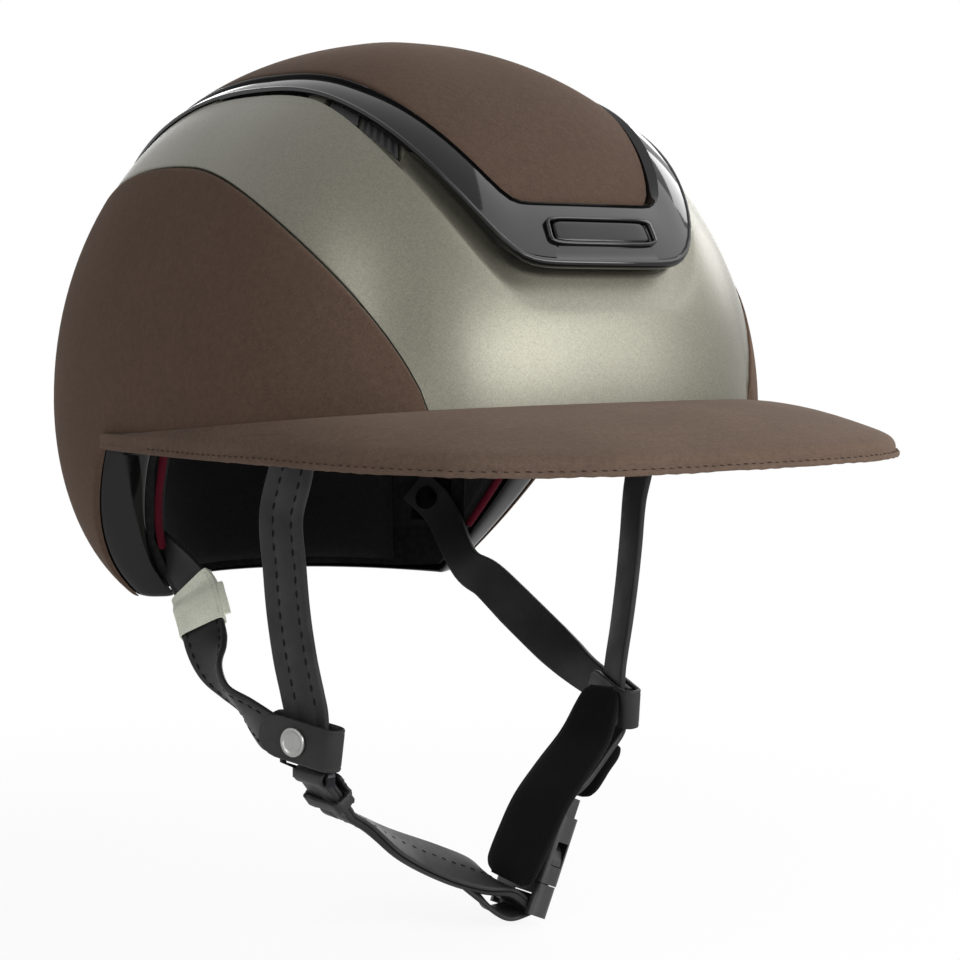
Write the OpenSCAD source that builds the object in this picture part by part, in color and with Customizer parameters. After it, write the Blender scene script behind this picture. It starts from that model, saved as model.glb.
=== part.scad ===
// Riding helmet with a wide sun peak, a gloss vent frame and a leather harness that closes
// with a side-release buckle. All sizes are in millimetres.
// The front faces -Y, the wearer's left is +X and up is +Z. The origin is on the plane of
// symmetry, halfway along the shell and level with the root of the peak at the ears.

/* [Shell] */
// Half of the shell's greatest width
shell_half_w = 106; // [100:0.5:112]
// From the widest line to the front of the shell
shell_front = 124; // [118:0.5:132]
// From the widest line to the back of the shell
shell_rear = 166; // [156:0.5:174]
// Height of the crown above the root of the peak
shell_h = 128; // [120:0.5:136]
// Thickness of the moulded shell
shell_wall = 4.5; // [4:0.1:6]
// Depth of the recess that each cover is bonded into
recess = 1.8; // [1.4:0.1:2.2]
// Depth of the nape edge below the origin
nape_drop = 70; // [60:0.5:76]
// Depth of the temple edge below the origin
temple_drop = 13; // [11:0.5:16]

/* [Covers] */
// How far the suede covers stand proud of the shell
cover_proud = 0.6; // [0.3:0.1:1.2]
// Highest latitude of the side cover's arched edge, in degrees
cover_peak_lat = 41; // [36:0.5:44]
// Joint gap round bonded covers
cover_gap = 0.3; // [0.2:0.05:0.5]
// How far the crown cover stands proud of the shell
crown_proud = 1.2; // [0.6:0.1:2]

/* [Vent frame] */
// Half of the width over the frame's two rails
frame_half_w = 58.5; // [54:0.5:62]
// Width of one rail, in plan
rail_w = 8; // [6.5:0.5:10]
// How far the front bar stands proud of the shell
frame_proud = 5.5; // [4:0.5:7]
// Thickness of the frame's moulding at its lip
frame_wall = 2.2; // [1.6:0.1:3]
// Latitude of the front bar's lower edge, in degrees
bar_low = 21.5; // [19:0.5:24]
// Height of the front bar, in degrees of latitude
bar_rise = 10.5; // [8:0.5:13]
// How far the side rails stand proud of the shell
rail_proud = 1.8; // [1.2:0.1:3]
// Half of the length of the plate in the front bar
plate_half_l = 21; // [14:0.5:24]
// Height of the plate in the front bar
plate_h = 9; // [6:0.5:12]

/* [Peak] */
// Half of the peak's greatest width
peak_half_w = 110; // [109:0.5:116]
// Reach of the peak ahead of the origin
peak_reach = 207; // [185:1:222]
// Thickness of the peak at its sewn edge
peak_edge = 5.5; // [5:0.1:7]
// Thickness of the peak's leather
peak_skin = 1.5; // [1:0.1:2]

/* [Liner] */
// Thickness of the foam liner
foam = 17; // [14:0.5:20]
// Thickness of the comfort pads
pad = 6; // [4:0.5:7]
// Width of the gloss trim on the lower edge
trim_w = 16; // [13:0.5:18]
// Thickness of the gloss trim
trim_t = 2.2; // [1.8:0.1:2.8]

/* [Harness] */
// Width of the leather straps
strap_w = 18; // [14:0.5:20]
// Thickness of a strap
strap_t = 2.4; // [1.8:0.1:3]
// Thickness of the doubled chin strap
chin_t = 3.6; // [3:0.1:4.4]
// Thickness of the leather of the strap divider
divider_t = 1.6; // [1.2:0.1:2]

/* [Buckle] */
// Width of the buckle
buckle_w = 26; // [24:0.5:30]
// Thickness of the buckle
buckle_t = 9; // [8:0.5:11]
// Depth that the tongue goes into the socket
tongue_l = 17; // [15:0.5:19]
// Clearance round the tongue in its socket
socket_gap = 0.4; // [0.3:0.05:0.6]

/* [Hidden] */

suede = [0.30, 0.24, 0.21];
olive = [0.56, 0.54, 0.47];
gloss = [0.05, 0.05, 0.06];
black = [0.12, 0.12, 0.13];
crimson = [0.38, 0.05, 0.12];
steel = [0.72, 0.72, 0.70];

// Fits that several pieces share
bond = 0.3;
// Curved layers have flat facets, so they stand this far apart at their corners
facet_gap = 1.1;
pad_gap = 1.69;
run_fit = 0.08;

// The plan is widest a little ahead of the middle, and the front is blunter than the rear.
wide_y = (shell_front - shell_rear)/2;
plan_front = 2.95;
plan_rear = 2.08;
crown_front = 1.9;
crown_rear = 2.38;
tuck = 4.5;
tuck_drop = 85;

function power(v, e) = (v < 0 ? -1 : 1)*pow(abs(v), e);
function mix(a, b, k) = a + (b - a)*k;
function clamp01(v) = max(0, min(1, v));
function smooth(v) = let (k = clamp01(v)) k*k*(3 - 2*k);
function unit(v) = v/norm(v);
function steps(a, b, n) = [for (i = [0:n]) a + (b - a)*i/n];
function wrap(a) = a > 180 ? a - 360 : a;

// One skin serves every layer: a is the plan angle (0 front, 90 wearer's left), t is the
// latitude (0 at the peak's root, 90 on top) and d is the distance outside the shell.
function plan_n(a) = cos(a) > 0 ? plan_front : plan_rear;
function half_len(a) = cos(a) > 0 ? shell_front : shell_rear;
function plan_norm(a) = let (n = plan_n(a)) pow(pow(abs(sin(a)), n) + pow(abs(cos(a)), n), 1/n);
function crown_n(a) = let (w = 0.5 + 0.5*power(cos(a)/plan_norm(a), plan_n(a)/2))
    crown_front*w + crown_rear*(1 - w);
function skin(a, t, d) =
    let (c = pow(max(cos(t), 0), 2/(t >= 0 ? crown_n(a) : tuck)), n = plan_norm(a))
    [(shell_half_w + d)*c*sin(a)/n,
     wide_y - (half_len(a) + d)*c*cos(a)/n,
     t >= 0 ? (shell_h + d)*sin(t) : tuck_drop*sin(t)];

// Latitude of a loop that is drawn in plan round the widest line's centre
function loop_r(a, half_w, ahead, behind, p) =
    pow(pow(abs(shell_half_w*sin(a)/half_w), p)
        + pow(abs(half_len(a)*cos(a)/(cos(a) > 0 ? ahead : behind)), p), -1/p);
function loop_lat(a, half_w, ahead, behind, p, least, sharp) = let (t = acos(pow(
        min(0.999, plan_norm(a)*loop_r(a, half_w, ahead, behind, p)), crown_n(a)/2)))
    least*pow(pow(t/least, sharp) + 1, 1/sharp);

// Edges of the pieces, as latitudes that depend on the plan angle
out_ahead = shell_front - 4.5;
out_behind = 150;
in_ahead = out_ahead - 3.5;
in_behind = out_behind - 22;
function frame_out(a) = loop_lat(a, frame_half_w, out_ahead, out_behind, 3.2, bar_low, 12);
function frame_in(a) = loop_lat(a, frame_half_w - rail_w, in_ahead, in_behind, 2.5,
    bar_low + bar_rise, 26);
function frame_mid(a, u) = mix(frame_out(a), frame_in(a), u);
cover_mid = 103;
cover_span = 69;
cover_a0 = cover_mid - cover_span;
cover_a1 = cover_mid + cover_span;
function cover_top(a) =
    cover_peak_lat*pow(max(0, 1 - pow(abs(abs(a) - cover_mid)/cover_span, 2.2)), 0.75);
nape_lat = -asin(nape_drop/tuck_drop);
temple_lat = -asin(temple_drop/tuck_drop);
ear_a0 = 100;
ear_rate = 2.37;
ear_a1 = ear_a0 + (temple_lat - nape_lat)/ear_rate;
function back(a) = abs(wrap(a));
function edge(a) = max(nape_lat, min(temple_lat, temple_lat - ear_rate*(back(a) - ear_a0)));
rim_lift = 1.7;
function lift(a) = rim_lift*(1 + 1.1*clamp01(1.6 - abs(back(a) - (ear_a0 + ear_a1)/2)/12));
scoop_deep = 2.2;
function scoop_fade(a) = 1 - smooth((abs(a) - 24)/40);
function scoop_low(a) = frame_out(a) - 1 - 4.5*scoop_fade(a);
function under_cover(a) = abs(a) > cover_a0 - 0.1 && abs(a) < cover_a1 + 0.1;

// The frame hides an open channel: a front intake and two windows on each side, which are
// parted by a tab of the shell.
channel = 3;
intake_a = 20;
win_a = [47.5, 57, 73.5, 104];
function open_here(a) = abs(a) < intake_a + 0.1 || (abs(a) > win_a[0] - 0.1 && abs(a) < win_a[1] + 0.1)
    || (abs(a) > win_a[2] - 0.1 && abs(a) < win_a[3] + 0.1);
function beside_window(a) = abs(a) > win_a[0] - 0.1 && abs(a) < win_a[3] + 0.1;
function channel_d(a) = open_here(a) ? -channel : beside_window(a) ? -0.9 : 0;
function channel_out(a) = frame_out(a) - (beside_window(a) ? 2.8 : 0);
function lip_d(a) = abs(a) < intake_a + 0.1 ? 2.3 : beside_window(a) ? -0.5 : 0.4;
function proud(a) = mix(frame_proud, rail_proud, smooth((back(a) - 20)/32));

// Columns: the plan angles at which every layer has its corners
bar_a = 24;
plate_a = atan2((plate_half_l + 1.5)/shell_half_w, 0.93);
key_angles = [0, plate_a, intake_a, bar_a, cover_a0 - 0.8, cover_a0, win_a[0] - 1, win_a[0],
    win_a[1], win_a[1] + 1.2, win_a[2] - 1.2, win_a[2], ear_a0, win_a[3], win_a[3] + 1.2, ear_a1,
    cover_a1, cover_a1 + 0.8, 180];
function split(keys, most) = [for (i = [0:len(keys) - 2])
    let (n = ceil((keys[i + 1] - keys[i])/most - 0.001)) for (k = [0:n - 1])
    mix(keys[i], keys[i + 1], k/n)];
function both_sides(half) = concat([for (i = [len(half) - 1:-1:1]) -half[i]], half, [180]);
fine = both_sides(split(key_angles, 8));
foam_half = split([0, cover_a0, ear_a0, win_a[3], mix(win_a[3] + 1.2, ear_a1, 0.5), ear_a1, 180], 11.5);
coarse = both_sides(foam_half);
around = concat([for (v = coarse) if (v > 0) v], [for (v = coarse) if (v < 0) v + 360]);

// Solids between an outer and an inner sheet of points. Each sheet is a list of rows that
// run from the lower edge to the upper one, and each row runs with the plan angle.
function flat_list(rows) = [for (r = rows) for (p = r) p];
function sheet_faces(nr, nc, ring, base, flip) = [for (j = [0:nr - 2]) for (i = [0:nc - (ring ? 1 : 2)])
    let (k = (i + 1) % nc, a = base + j*nc + i, b = base + j*nc + k, c = a + nc, d = b + nc)
    for (f = [[a, c, d], [a, d, b]]) flip ? [f[0], f[2], f[1]] : f];
function strip_faces(p, q, n, ring) = [for (i = [0:n - (ring ? 1 : 2)]) let (k = (i + 1) % n)
    for (f = [[p[i], p[k], q[k]], [p[i], q[k], q[i]]]) f];
function fan_faces(row, n, tip, flip) = [for (i = [0:n - 1]) let (k = (i + 1) % n)
    flip ? [row[i], row[k], tip] : [row[i], tip, row[k]]];

// A patch with four sides, or a closed ring where ring is true
module slab(outer, inner, ring = false) {
    nr = len(outer);
    mr = len(inner);
    nc = len(outer[0]);
    o = nr*nc;
    out0 = [for (i = [0:nc - 1]) i];
    in0 = [for (i = [0:nc - 1]) o + i];
    out1 = [for (i = [0:nc - 1]) (nr - 1)*nc + i];
    in1 = [for (i = [0:nc - 1]) o + (mr - 1)*nc + i];
    sides = ring ? [] : concat(
        strip_faces([for (j = [nr - 1:-1:0]) j*nc], [for (j = [nr - 1:-1:0]) o + j*nc], nr, false),
        strip_faces([for (j = [0:nr - 1]) j*nc + nc - 1],
                    [for (j = [0:nr - 1]) o + j*nc + nc - 1], nr, false));
    polyhedron(concat(flat_list(outer), flat_list(inner)),
        concat(sheet_faces(nr, nc, ring, 0, false), sheet_faces(mr, nc, ring, o, true),
               strip_faces(out0, in0, nc, ring), strip_faces(in1, out1, nc, ring), sides));
}

// A bowl: a ring of rows that closes at a tip on top of each sheet
module bowl(outer, inner, tip_out, tip_in) {
    nr = len(outer);
    mr = len(inner);
    nc = len(outer[0]);
    o = nr*nc;
    tips = (nr + mr)*nc;
    polyhedron(concat(flat_list(outer), flat_list(inner), [tip_out, tip_in]),
        concat(sheet_faces(nr, nc, true, 0, false), sheet_faces(mr, nc, true, o, true),
               fan_faces([for (i = [0:nc - 1]) (nr - 1)*nc + i], nc, tips, false),
               fan_faces([for (i = [0:nc - 1]) o + (mr - 1)*nc + i], nc, tips + 1, true),
               strip_faces([for (i = [0:nc - 1]) i], [for (i = [0:nc - 1]) o + i], nc, true)));
}
function between(c, a, b) = concat([a], [for (v = c) if (v > a + 0.4 && v < b - 0.4) v], [b]);
function row(cols, lat, d) = [for (i = [0:len(cols) - 1]) skin(cols[i], lat[i], d[i])];
function level(cols, d) = [for (v = cols) d];

// Rows that the side covers and the crown cover share with the shell under them
cover_k = [0, 0.03, 0.14, 0.26, 0.39, 0.52, 0.65, 0.78, 0.9, 0.97, 1];
crown_k = [0.04, 0.16, 0.32, 0.52, 0.76];
// Rows of the shell's inner face and of the foam
layer_k = [0, 0.1, 0.2, 0.31, 0.43, 0.55, 0.67, 0.79, 0.9];

// The moulded shell: recesses for the covers, a scoop under the front bar, and a channel
// and a seat for the frame and the crown cover.
module shell_body() {
    c = fine;
    low = [for (a = c) edge(a) + lift(a)];
    top = [for (a = c) max(cover_top(a), edge(a) + lift(a) + 2)];
    scoop = [for (a = c) max(scoop_low(a), max(cover_top(a), edge(a)) + 3)];
    out = [for (a = c) channel_out(a)];
    in = [for (a = c) frame_in(a)];
    mid = [for (a = c) frame_mid(a, 0.47)];
    under = [for (a = c) under_cover(a) ? -recess : 0];
    sunk = [for (a = c) -scoop_deep*scoop_fade(a)];
    base = [for (a = c) min(-scoop_deep*scoop_fade(a), channel_d(a)) + max(0, channel_d(a))];
    outer = concat(
        [for (k = cover_k) row(c, mix(low, top, k), under)],
        [row(c, top + level(c, 0.3), level(c, 0))],
        [for (k = [0.33, 0.67, 1]) row(c, mix(top, scoop, k), level(c, 0))],
        [row(c, mix(scoop, out, 0.35), 0.8*sunk), row(c, out, sunk)],
        [row(c, out + level(c, 0.4), base), row(c, mid, base)],
        [row(c, mid + level(c, 0.3), level(c, -channel)), row(c, in - level(c, 0.4), level(c, -channel))],
        [row(c, in, level(c, -recess))],
        [for (k = crown_k) row(c, mix(in, level(c, 90), k), level(c, -recess))]);
    inner = [for (k = layer_k) row(c, mix(low, level(c, 90), k), level(c, -shell_wall))];
    bowl(outer, inner, skin(0, 90, -recess), skin(0, 90, -shell_wall));
}

// Air holes: one plan angle each, halfway across the open channel
vent_angles = [-15, -5, 5, 15, -52, 52, -80, 80, -90, 90, -99, 99];
function normal(a, t, d) = unit(cross(skin(a + 1, t, d) - skin(a - 1, t, d),
    skin(a, t + 1, d) - skin(a, t - 1, d)));
module stand_on(p, n) {
    translate(p) rotate([0, acos(n[2]), atan2(n[1], n[0])]) children();
}
module vents(r, deep, list) {
    for (a = list)
        stand_on(skin(a, frame_mid(a, 0.24), 0), normal(a, frame_mid(a, 0.24), 0))
            translate([0, 0, -deep]) cylinder(h = deep + 3, r = r, $fn = 24);
}
module outer_shell() {
    color(olive) difference() {
        shell_body();
        vents(2.6, 14, vent_angles);
    }
}

// Each side cover is a suede-clad panel that is bonded into its recess.
module side_cover(s) {
    c = between([for (a = fine) if (a > 0) a], cover_a0 + 0.5, cover_a1 - 0.4);
    last = len(c) - 1;
    low = [for (a = c) edge(a) + lift(a)];
    top = [for (i = [0:last]) cover_top(c[i]) - (i == 0 || i == last ? 1.3 : cover_gap*0.5)];
    roll = cover_proud*0.6;
    lats = [for (k = cover_k) k == 0 ? [for (a = c) edge(a)] : mix(low, top, k)];
    outer = [for (i = [0:len(cover_k) - 1])
        row(c, lats[i], level(c, i == 0 || i == len(cover_k) - 1 ? -roll : cover_proud))];
    inner = [for (v = lats) row(c, v, level(c, cover_gap - recess))];
    color(suede) mirror([s < 0 ? 1 : 0, 0, 0]) slab(outer, inner);
}

// The crown cover fills the frame like a cap.
module crown_cover() {
    c = fine;
    in = [for (a = c) frame_in(a)];
    low = in + level(c, 0.3);
    d0 = cover_gap - recess;
    outer = concat([row(c, low, level(c, crown_proud*0.4))],
        [for (k = crown_k) row(c, mix(in, level(c, 90), k), level(c, crown_proud))]);
    inner = concat([row(c, low, level(c, d0))],
        [for (k = crown_k) row(c, mix(in, level(c, 90), k), level(c, d0))]);
    color(suede) bowl(outer, inner, skin(0, 90, crown_proud), skin(0, 90, d0));
}

// A closed or capped sweep: each row is one cross-section, listed counter-clockwise about
// the direction of travel.
module loft(rows, ring = false) {
    n = len(rows);
    m = len(rows[0]);
    sides = [for (i = [0:n - (ring ? 1 : 2)]) let (j = (i + 1) % n) for (k = [0:m - 1])
        let (l = (k + 1) % m, a = i*m + k, b = i*m + l, c = j*m + k, d = j*m + l)
        for (f = [[a, c, d], [a, d, b]]) f];
    caps = ring ? [] : [[for (k = [0:m - 1]) k], [for (k = [m - 1:-1:0]) (n - 1)*m + k]];
    polyhedron(flat_list(rows), concat(sides, caps));
}

// The vent frame: a foot by the crown cover, a domed back and a lip over the channel
module frame_body() {
    rows = [for (a = fine) [for (p = [[1, -channel + bond], [1, 1.4],
            [0.8, proud(a) - 0.2], [0.45, proud(a)], [0.14, proud(a) - 0.1], [0, proud(a) - 0.7],
            [0, lip_d(a)], [0.1, lip_d(a)], [0.49, max(lip_d(a), min(proud(a) - frame_wall, lip_d(a) + 0.6))],
            [0.53, -channel + bond]])
        skin(a, frame_mid(a, p[0]) - (p[0] == 1 ? 0.5 : 0) + (p[0] == 0 ? 0.1 : 0), p[1])]];
    loft(rows, true);
}
bar_h = norm(skin(0, frame_out(0), frame_proud) - skin(0, frame_in(0), frame_proud));
plate_u = plate_h/bar_h/2;
function plate_rows(grow, d) = [for (u = [0.5 - plate_u - grow, 0.5, 0.5 + plate_u + grow])
    [for (a = steps(-1, 1, 4)) let (b = a*(plate_a - 1.2 + 8*grow)) skin(b, frame_mid(b, u), d)]];
module vent_frame() {
    color(gloss) difference() {
        frame_body();
        slab(plate_rows(0.04, frame_proud + 2), plate_rows(0.04, frame_proud - 1.4));
    }
}

// The plate in the front bar is left bare.
module front_plate() {
    color(gloss) slab(plate_rows(0, frame_proud + 0.3), plate_rows(0, frame_proud - 1.3));
}

// Perforated strips lie on the floor of each open length of the channel.
module grille(a0, a1) {
    c = between(fine, a0, a1);
    lat = [for (a = c) channel_out(a) + 0.9];
    hat = [for (a = c) frame_mid(a, 0.43)];
    slab([row(c, lat, level(c, -1.7)), row(c, hat, level(c, -1.7))],
         [row(c, lat, level(c, bond - channel)), row(c, hat, level(c, bond - channel))]);
}
module vent_grilles() {
    color(black) difference() {
        union() {
            grille(0.8 - intake_a, intake_a - 0.8);
            for (s = [-1, 1]) {
                mirror([s < 0 ? 1 : 0, 0, 0]) grille(win_a[0] + 0.5, win_a[1] - 0.5);
                mirror([s < 0 ? 1 : 0, 0, 0]) grille(win_a[2] + 0.5, win_a[3] - 0.5);
            }
        }
        vents(1.5, 6, concat(vent_angles, [-10, 0, 10, -55, 55, -49.5, 49.5, -76, 76, -85, 85,
            -94.5, 94.5, -102, 102]));
    }
}

// Foam liner with air ways behind the shell's air holes
function foam_d(a, t) = shell_wall + facet_gap + foam*(t < 0 ? mix(1, 0.82, -t/55) : 1)
    + 8*pow(cos(a), 2)*(t > 0 ? cos(t) : 1) + (t > 0 ? 3*sin(t) : 0);
function foam_pt(a, t, off) = skin(a, t, -foam_d(a, t) - off);
module foam_body() {
    c = coarse;
    low = [for (a = c) edge(a) + lift(a) + 0.5];
    outer = [for (k = layer_k) row(c, mix(low, level(c, 90), k), level(c, -shell_wall - facet_gap))];
    inner = [for (k = layer_k) [for (i = [0:len(c) - 1]) foam_pt(c[i], mix(low[i], 90, k), 0)]];
    bowl(outer, inner, skin(0, 90, -shell_wall - facet_gap), foam_pt(0, 90, 0));
}
// Where the four straps are riveted: plan angle and latitude on the foam's inner face
front_at = [62.5, -3];
rear_at = [122, -30];
function wall_normal(at) = unit(cross(foam_pt(at[0] + 1, at[1], 0) - foam_pt(at[0] - 1, at[1], 0),
    foam_pt(at[0], at[1] + 1, 0) - foam_pt(at[0], at[1] - 1, 0)));
module at_anchors() {
    for (s = [0, 1]) for (at = [front_at, rear_at])
        mirror([s, 0, 0]) stand_on(foam_pt(at[0], at[1], 0), wall_normal(at)) children();
}
rivet_r = 2.5;
rivet_deep = 9;
seat_gap = 0.6;
plate_t = 1.2;
anchor_w = 16;
module foam_liner() {
    color([0.16, 0.16, 0.17]) difference() {
        foam_body();
        at_anchors() {
            translate([0, 0, -4]) cylinder(h = rivet_deep + 4.5, r = rivet_r + 0.1, $fn = 24);
            translate([-anchor_w/2 - bond, -anchor_w/2 - bond, bond - seat_gap - 6])
                cube([anchor_w + 2*bond, anchor_w + 2*bond, 6]);
        }
        vents(4, 45, [-10, 10, -52, 52, -90, 90]);
    }
}

// Gloss trim closes the edge behind the ears, and a soft trim closes the brow.
trim_in = 18.9;
module edge_strip(c) {
    low = [for (a = c) edge(a) - 0.2];
    top = [for (a = c) edge(a) + lift(a) - 0.35];
    lat = [0, 0.35, 1];
    outer = [for (k = lat) row(c, mix(low, top, k), level(c, k == 0 ? -recess - 1.2 : -recess - 0.15))];
    inner = [for (k = lat) row(c, mix(low, top, k), level(c, k == 0 ? 1.2 - trim_in : -trim_in))];
    slab(outer, inner);
}
module edge_trim() {
    half = [for (v = fine) if (v > ear_a0 - 0.1) v];
    color(gloss) edge_strip(concat(half, [for (i = [len(half) - 2:-1:0]) 360 - half[i]]));
}
module brow_trim() {
    c = between(fine, 0.6 - ear_a0, ear_a0 - 0.6);
    color(black) edge_strip(c);
}

// The peak hugs the shell along a sloping line and is widest beside the temples. One set of
// points serves its three layers: k runs from the shell (0) to the sewn edge (1).
root_slope = -0.094;
root_z = -7.9;
peak_mid = -50;
function root_lat(a) = let (y = skin(a, 0, 0)[1], z = root_z + root_slope*y)
    let (y2 = skin(a, max(0, z)/2.2, 0)[1], z2 = root_z + root_slope*y2)
    z2 > 0 ? asin(z2/shell_h) : asin(z2/tuck_drop);
function root_pt(a) = skin(a, root_lat(a), cover_proud + 0.6);
function rim_pt(a) = let (p = root_pt(a), b = atan2(p[0], peak_mid - p[1]))
    p[1] < peak_mid
        ? let (r = pow(pow(abs(sin(b))/peak_half_w, 3.5)
                + pow(abs(cos(b))/(peak_reach + peak_mid), 3.5), -1/3.5))
            [r*sin(b), peak_mid - r*cos(b), -6.6]
        : [p[0] + (p[0] > 0 ? 1 : -1)*mix(peak_half_w - shell_half_w - 0.6, 1.5,
            pow((p[1] - peak_mid)/55, 1.5)), p[1], -6.6];
function crosswise(a) = let (d = rim_pt(a) - root_pt(a)) norm([d[0], d[1]]);
function peak_pt(a, k, inset, dz) = let (p = root_pt(a), q = rim_pt(a), w = crosswise(a),
        cut = min(inset, 0.42*w)/w, h = mix(0, 1 - cut, k))
    [mix(p[0], q[0], h), mix(p[1], q[1], h),
     mix(p[2], q[2], h) + 2.2*sin(180*h)*clamp01((w - 4)/30) + dz];
function peak_row(c, k, inset, dz) = [for (a = c) peak_pt(a, k, inset, dz)];
board_t = peak_edge - 2*peak_skin - 0.3;
module peak_top_cover() {
    c = between(fine, -98, 98);
    top = [[0, 0], [0.3, 0], [0.62, 0], [0.9, 0], [0.975, -0.5], [1, -1.8],
        [1, -peak_edge + 0.5], [0.99, -peak_edge]];
    outer = [for (p = top) peak_row(c, p[0], 0, p[1])];
    under = [[0, 0], [0.3, 0], [0.62, 0], [0.9, 0], [0.975, -0.2], [1, -0.9], [1, 0.8], [1, -0.4]];
    inner = [for (i = [0:7]) peak_row(c, under[i][0], i > 4 ? peak_skin : 0,
        i < 6 ? under[i][1] - peak_skin : (i == 6 ? -peak_edge + 1 : -peak_edge))];
    color(suede) slab([for (i = [len(outer) - 1:-1:0]) outer[i]], [for (i = [len(inner) - 1:-1:0]) inner[i]]);
}
module peak_layer(most, inset, up, down) {
    c = between(fine, -most, most);
    k = [1, 0.62, 0.3, 0];
    slab([for (v = k) peak_row(c, v, inset, up)], [for (v = k) peak_row(c, v, inset, down)]);
}
module peak_board() {
    color(black) peak_layer(62, peak_skin + 0.4, -peak_skin - 0.75, -peak_edge + peak_skin + 0.1);
}
module peak_under_cover() {
    color(black) peak_layer(62, peak_skin + 0.3, -peak_edge + peak_skin - 0.05, -peak_edge + 0.1);
}

// Comfort pads line the foam
module wall_pad(c, low, high, thick, edge_t) {
    k = [0, 0.12, 0.5, 0.88, 1];
    outer = [for (v = k) [for (i = [0:len(c) - 1]) foam_pt(c[i], mix(low[i], high[i], v), pad_gap)]];
    inner = [for (v = k) [for (i = [0:len(c) - 1])
        foam_pt(c[i], mix(low[i], high[i], v), pad_gap + (v == 0 || v == 1 || i == 0
            || i == len(c) - 1 ? edge_t : thick))]];
    slab(outer, inner);
}
module brow_pad() {
    c = between(coarse, -52, 52);
    color(black) wall_pad(c, level(c, temple_lat + 3), level(c, 14), pad, 1.6);
}
module rear_pad() {
    c = between(around, 131, 229);
    color(black) wall_pad(c, level(c, nape_lat + 5), level(c, -8), pad, 1.6);
}
side_pad_from = 76;
side_pad_to = 118;
side_pad_top = 22;
module side_pads() {
    c = between(coarse, side_pad_from, side_pad_to);
    color(black) for (s = [0, 1]) mirror([s, 0, 0])
        wall_pad(c, level(c, 2), level(c, side_pad_top), pad, 1.6);
}
ear_pad_a = [103.5, 107, 110.5, 114];
function ear_low(a) = edge(a) + lift(a) + 2;
module ear_pads() {
    c = ear_pad_a;
    color(black) for (s = [0, 1]) mirror([s, 0, 0])
        wall_pad(c, [for (a = c) ear_low(a)], level(c, -3), pad - 1, 1.6);
}
module crown_pad() {
    c = both_sides(split([0, 180], 15));
    k = [62, 64.5, 72, 82];
    outer = [for (t = k) [for (a = c) foam_pt(a, t, pad_gap)]];
    inner = [for (t = k) [for (a = c) foam_pt(a, t, pad_gap + (t == 62 ? 1.6 : pad))]];
    color(black) bowl(outer, inner, foam_pt(0, 90, pad_gap), foam_pt(0, 90, pad_gap + pad));
}

// Piping follows the ear pads' front and lower edges.
function cord_rows(pts, r, n) = [for (i = [0:len(pts) - 1])
    let (t = unit(pts[min(i + 1, len(pts) - 1)] - pts[max(i - 1, 0)]), u = unit(cross(t, [0, 0.3, 1])),
        v = cross(t, u)) [for (k = [0:n - 1]) pts[i] + r*cos(360*k/n)*u + r*sin(360*k/n)*v]];
module liner_piping() {
    path = concat([for (t = [-3, -8, -13]) foam_pt(101.6, t, 2.2)],
        [for (a = [103.2, 106.5, 110, 113]) foam_pt(a, ear_low(a) - 2.7, 2.2)]);
    color(crimson) for (s = [0, 1]) mirror([s, 0, 0]) loft(cord_rows(path, 1.5, 8));
}

// The chin strap turns on a pin by the right divider. The buckle's axis is square to the
// line from that pin, so the tongue leaves the socket along the chin strap's swing.
ring_pt = [64.2, -64, -120];
seat_mid = [29.5, -64, -160.5];
lever = [seat_mid[0] + ring_pt[0], seat_mid[2] - ring_pt[2]];
buckle_turn = atan2(-lever[1], lever[0]);
in_dir = [sin(buckle_turn), 0, cos(buckle_turn)];
face_dir = [cos(buckle_turn), 0, -sin(buckle_turn)];
mouth = seat_mid - in_dir*tongue_l/2;
socket_l = tongue_l + 8;
socket_bar = mouth + in_dir*(socket_l + 4.6);

// Straps are flat bands. The band lies along nor (its outward face) and w is its width.
function dir_at(p, i) = unit(p[min(i + 1, len(p) - 1)] - p[max(i - 1, 0)]);
soft_edge = [[0.5, -0.22], [0.5, 0.22], [0.465, 0.5], [-0.465, 0.5], [-0.5, 0.22], [-0.5, -0.22],
    [-0.465, -0.5], [0.465, -0.5]];
cut_edge = [[0.5, -0.5], [0.5, 0.5], [-0.5, 0.5], [-0.5, -0.5]];
function band(p, nor, w, t, off = 0, section = soft_edge) = [for (i = [0:len(p) - 1])
    let (d = dir_at(p, i), u = unit(cross(nor[i], d))*(is_list(w) ? w[i] : w), n = cross(d, unit(u)))
    [for (c = section) p[i] + n*off + u*c[0] + n*t*c[1]]];

// Every strap starts under its anchor plate and runs down to the strap divider.
strap_off = seat_gap + plate_t + 0.1 + strap_t/2;
function seat(at) = foam_pt(at[0], at[1], 0) - wall_normal(at)*strap_off;
function down_wall(at, heading) = let (n = wall_normal(at)) unit(heading - n*(heading*n));
divider = [66.6, -63.6, -107.5];
strap_turn = -19;
out_dir = [cos(strap_turn), sin(strap_turn), 0];
fore_dir = [sin(strap_turn), -cos(strap_turn), 0];
front_down = down_wall(front_at, [0, 0, -1]);
front_line = concat([for (v = [-10, 9]) seat(front_at) + front_down*v],
    [[76.1, -63.8, -32], [74.6, -63.3, -50], [73, -63, -65], [70.6, -63, -80], [68, -63.3, -92],
     divider + [0.1, 0, 8.2], divider - [0, 0, 1]]);
front_nor = concat([wall_normal(front_at), wall_normal(front_at)],
    [for (i = [1:7]) unit(mix(wall_normal(front_at), out_dir, min(1, i/4)))]);
left_line = concat(front_line, [divider - [0, 0.2, 8.9], [64, -64, -119.2], [57, -64, -125.2],
    [47.2, -64, -134.6]], [socket_bar + [2.6, 0, 2.6]]);
left_nor = concat(front_nor, [out_dir, [0.8, -0.1, -0.5], [0.75, 0, -0.66], [0.77, 0, -0.64],
    [0.75, 0, -0.66]]);
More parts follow.
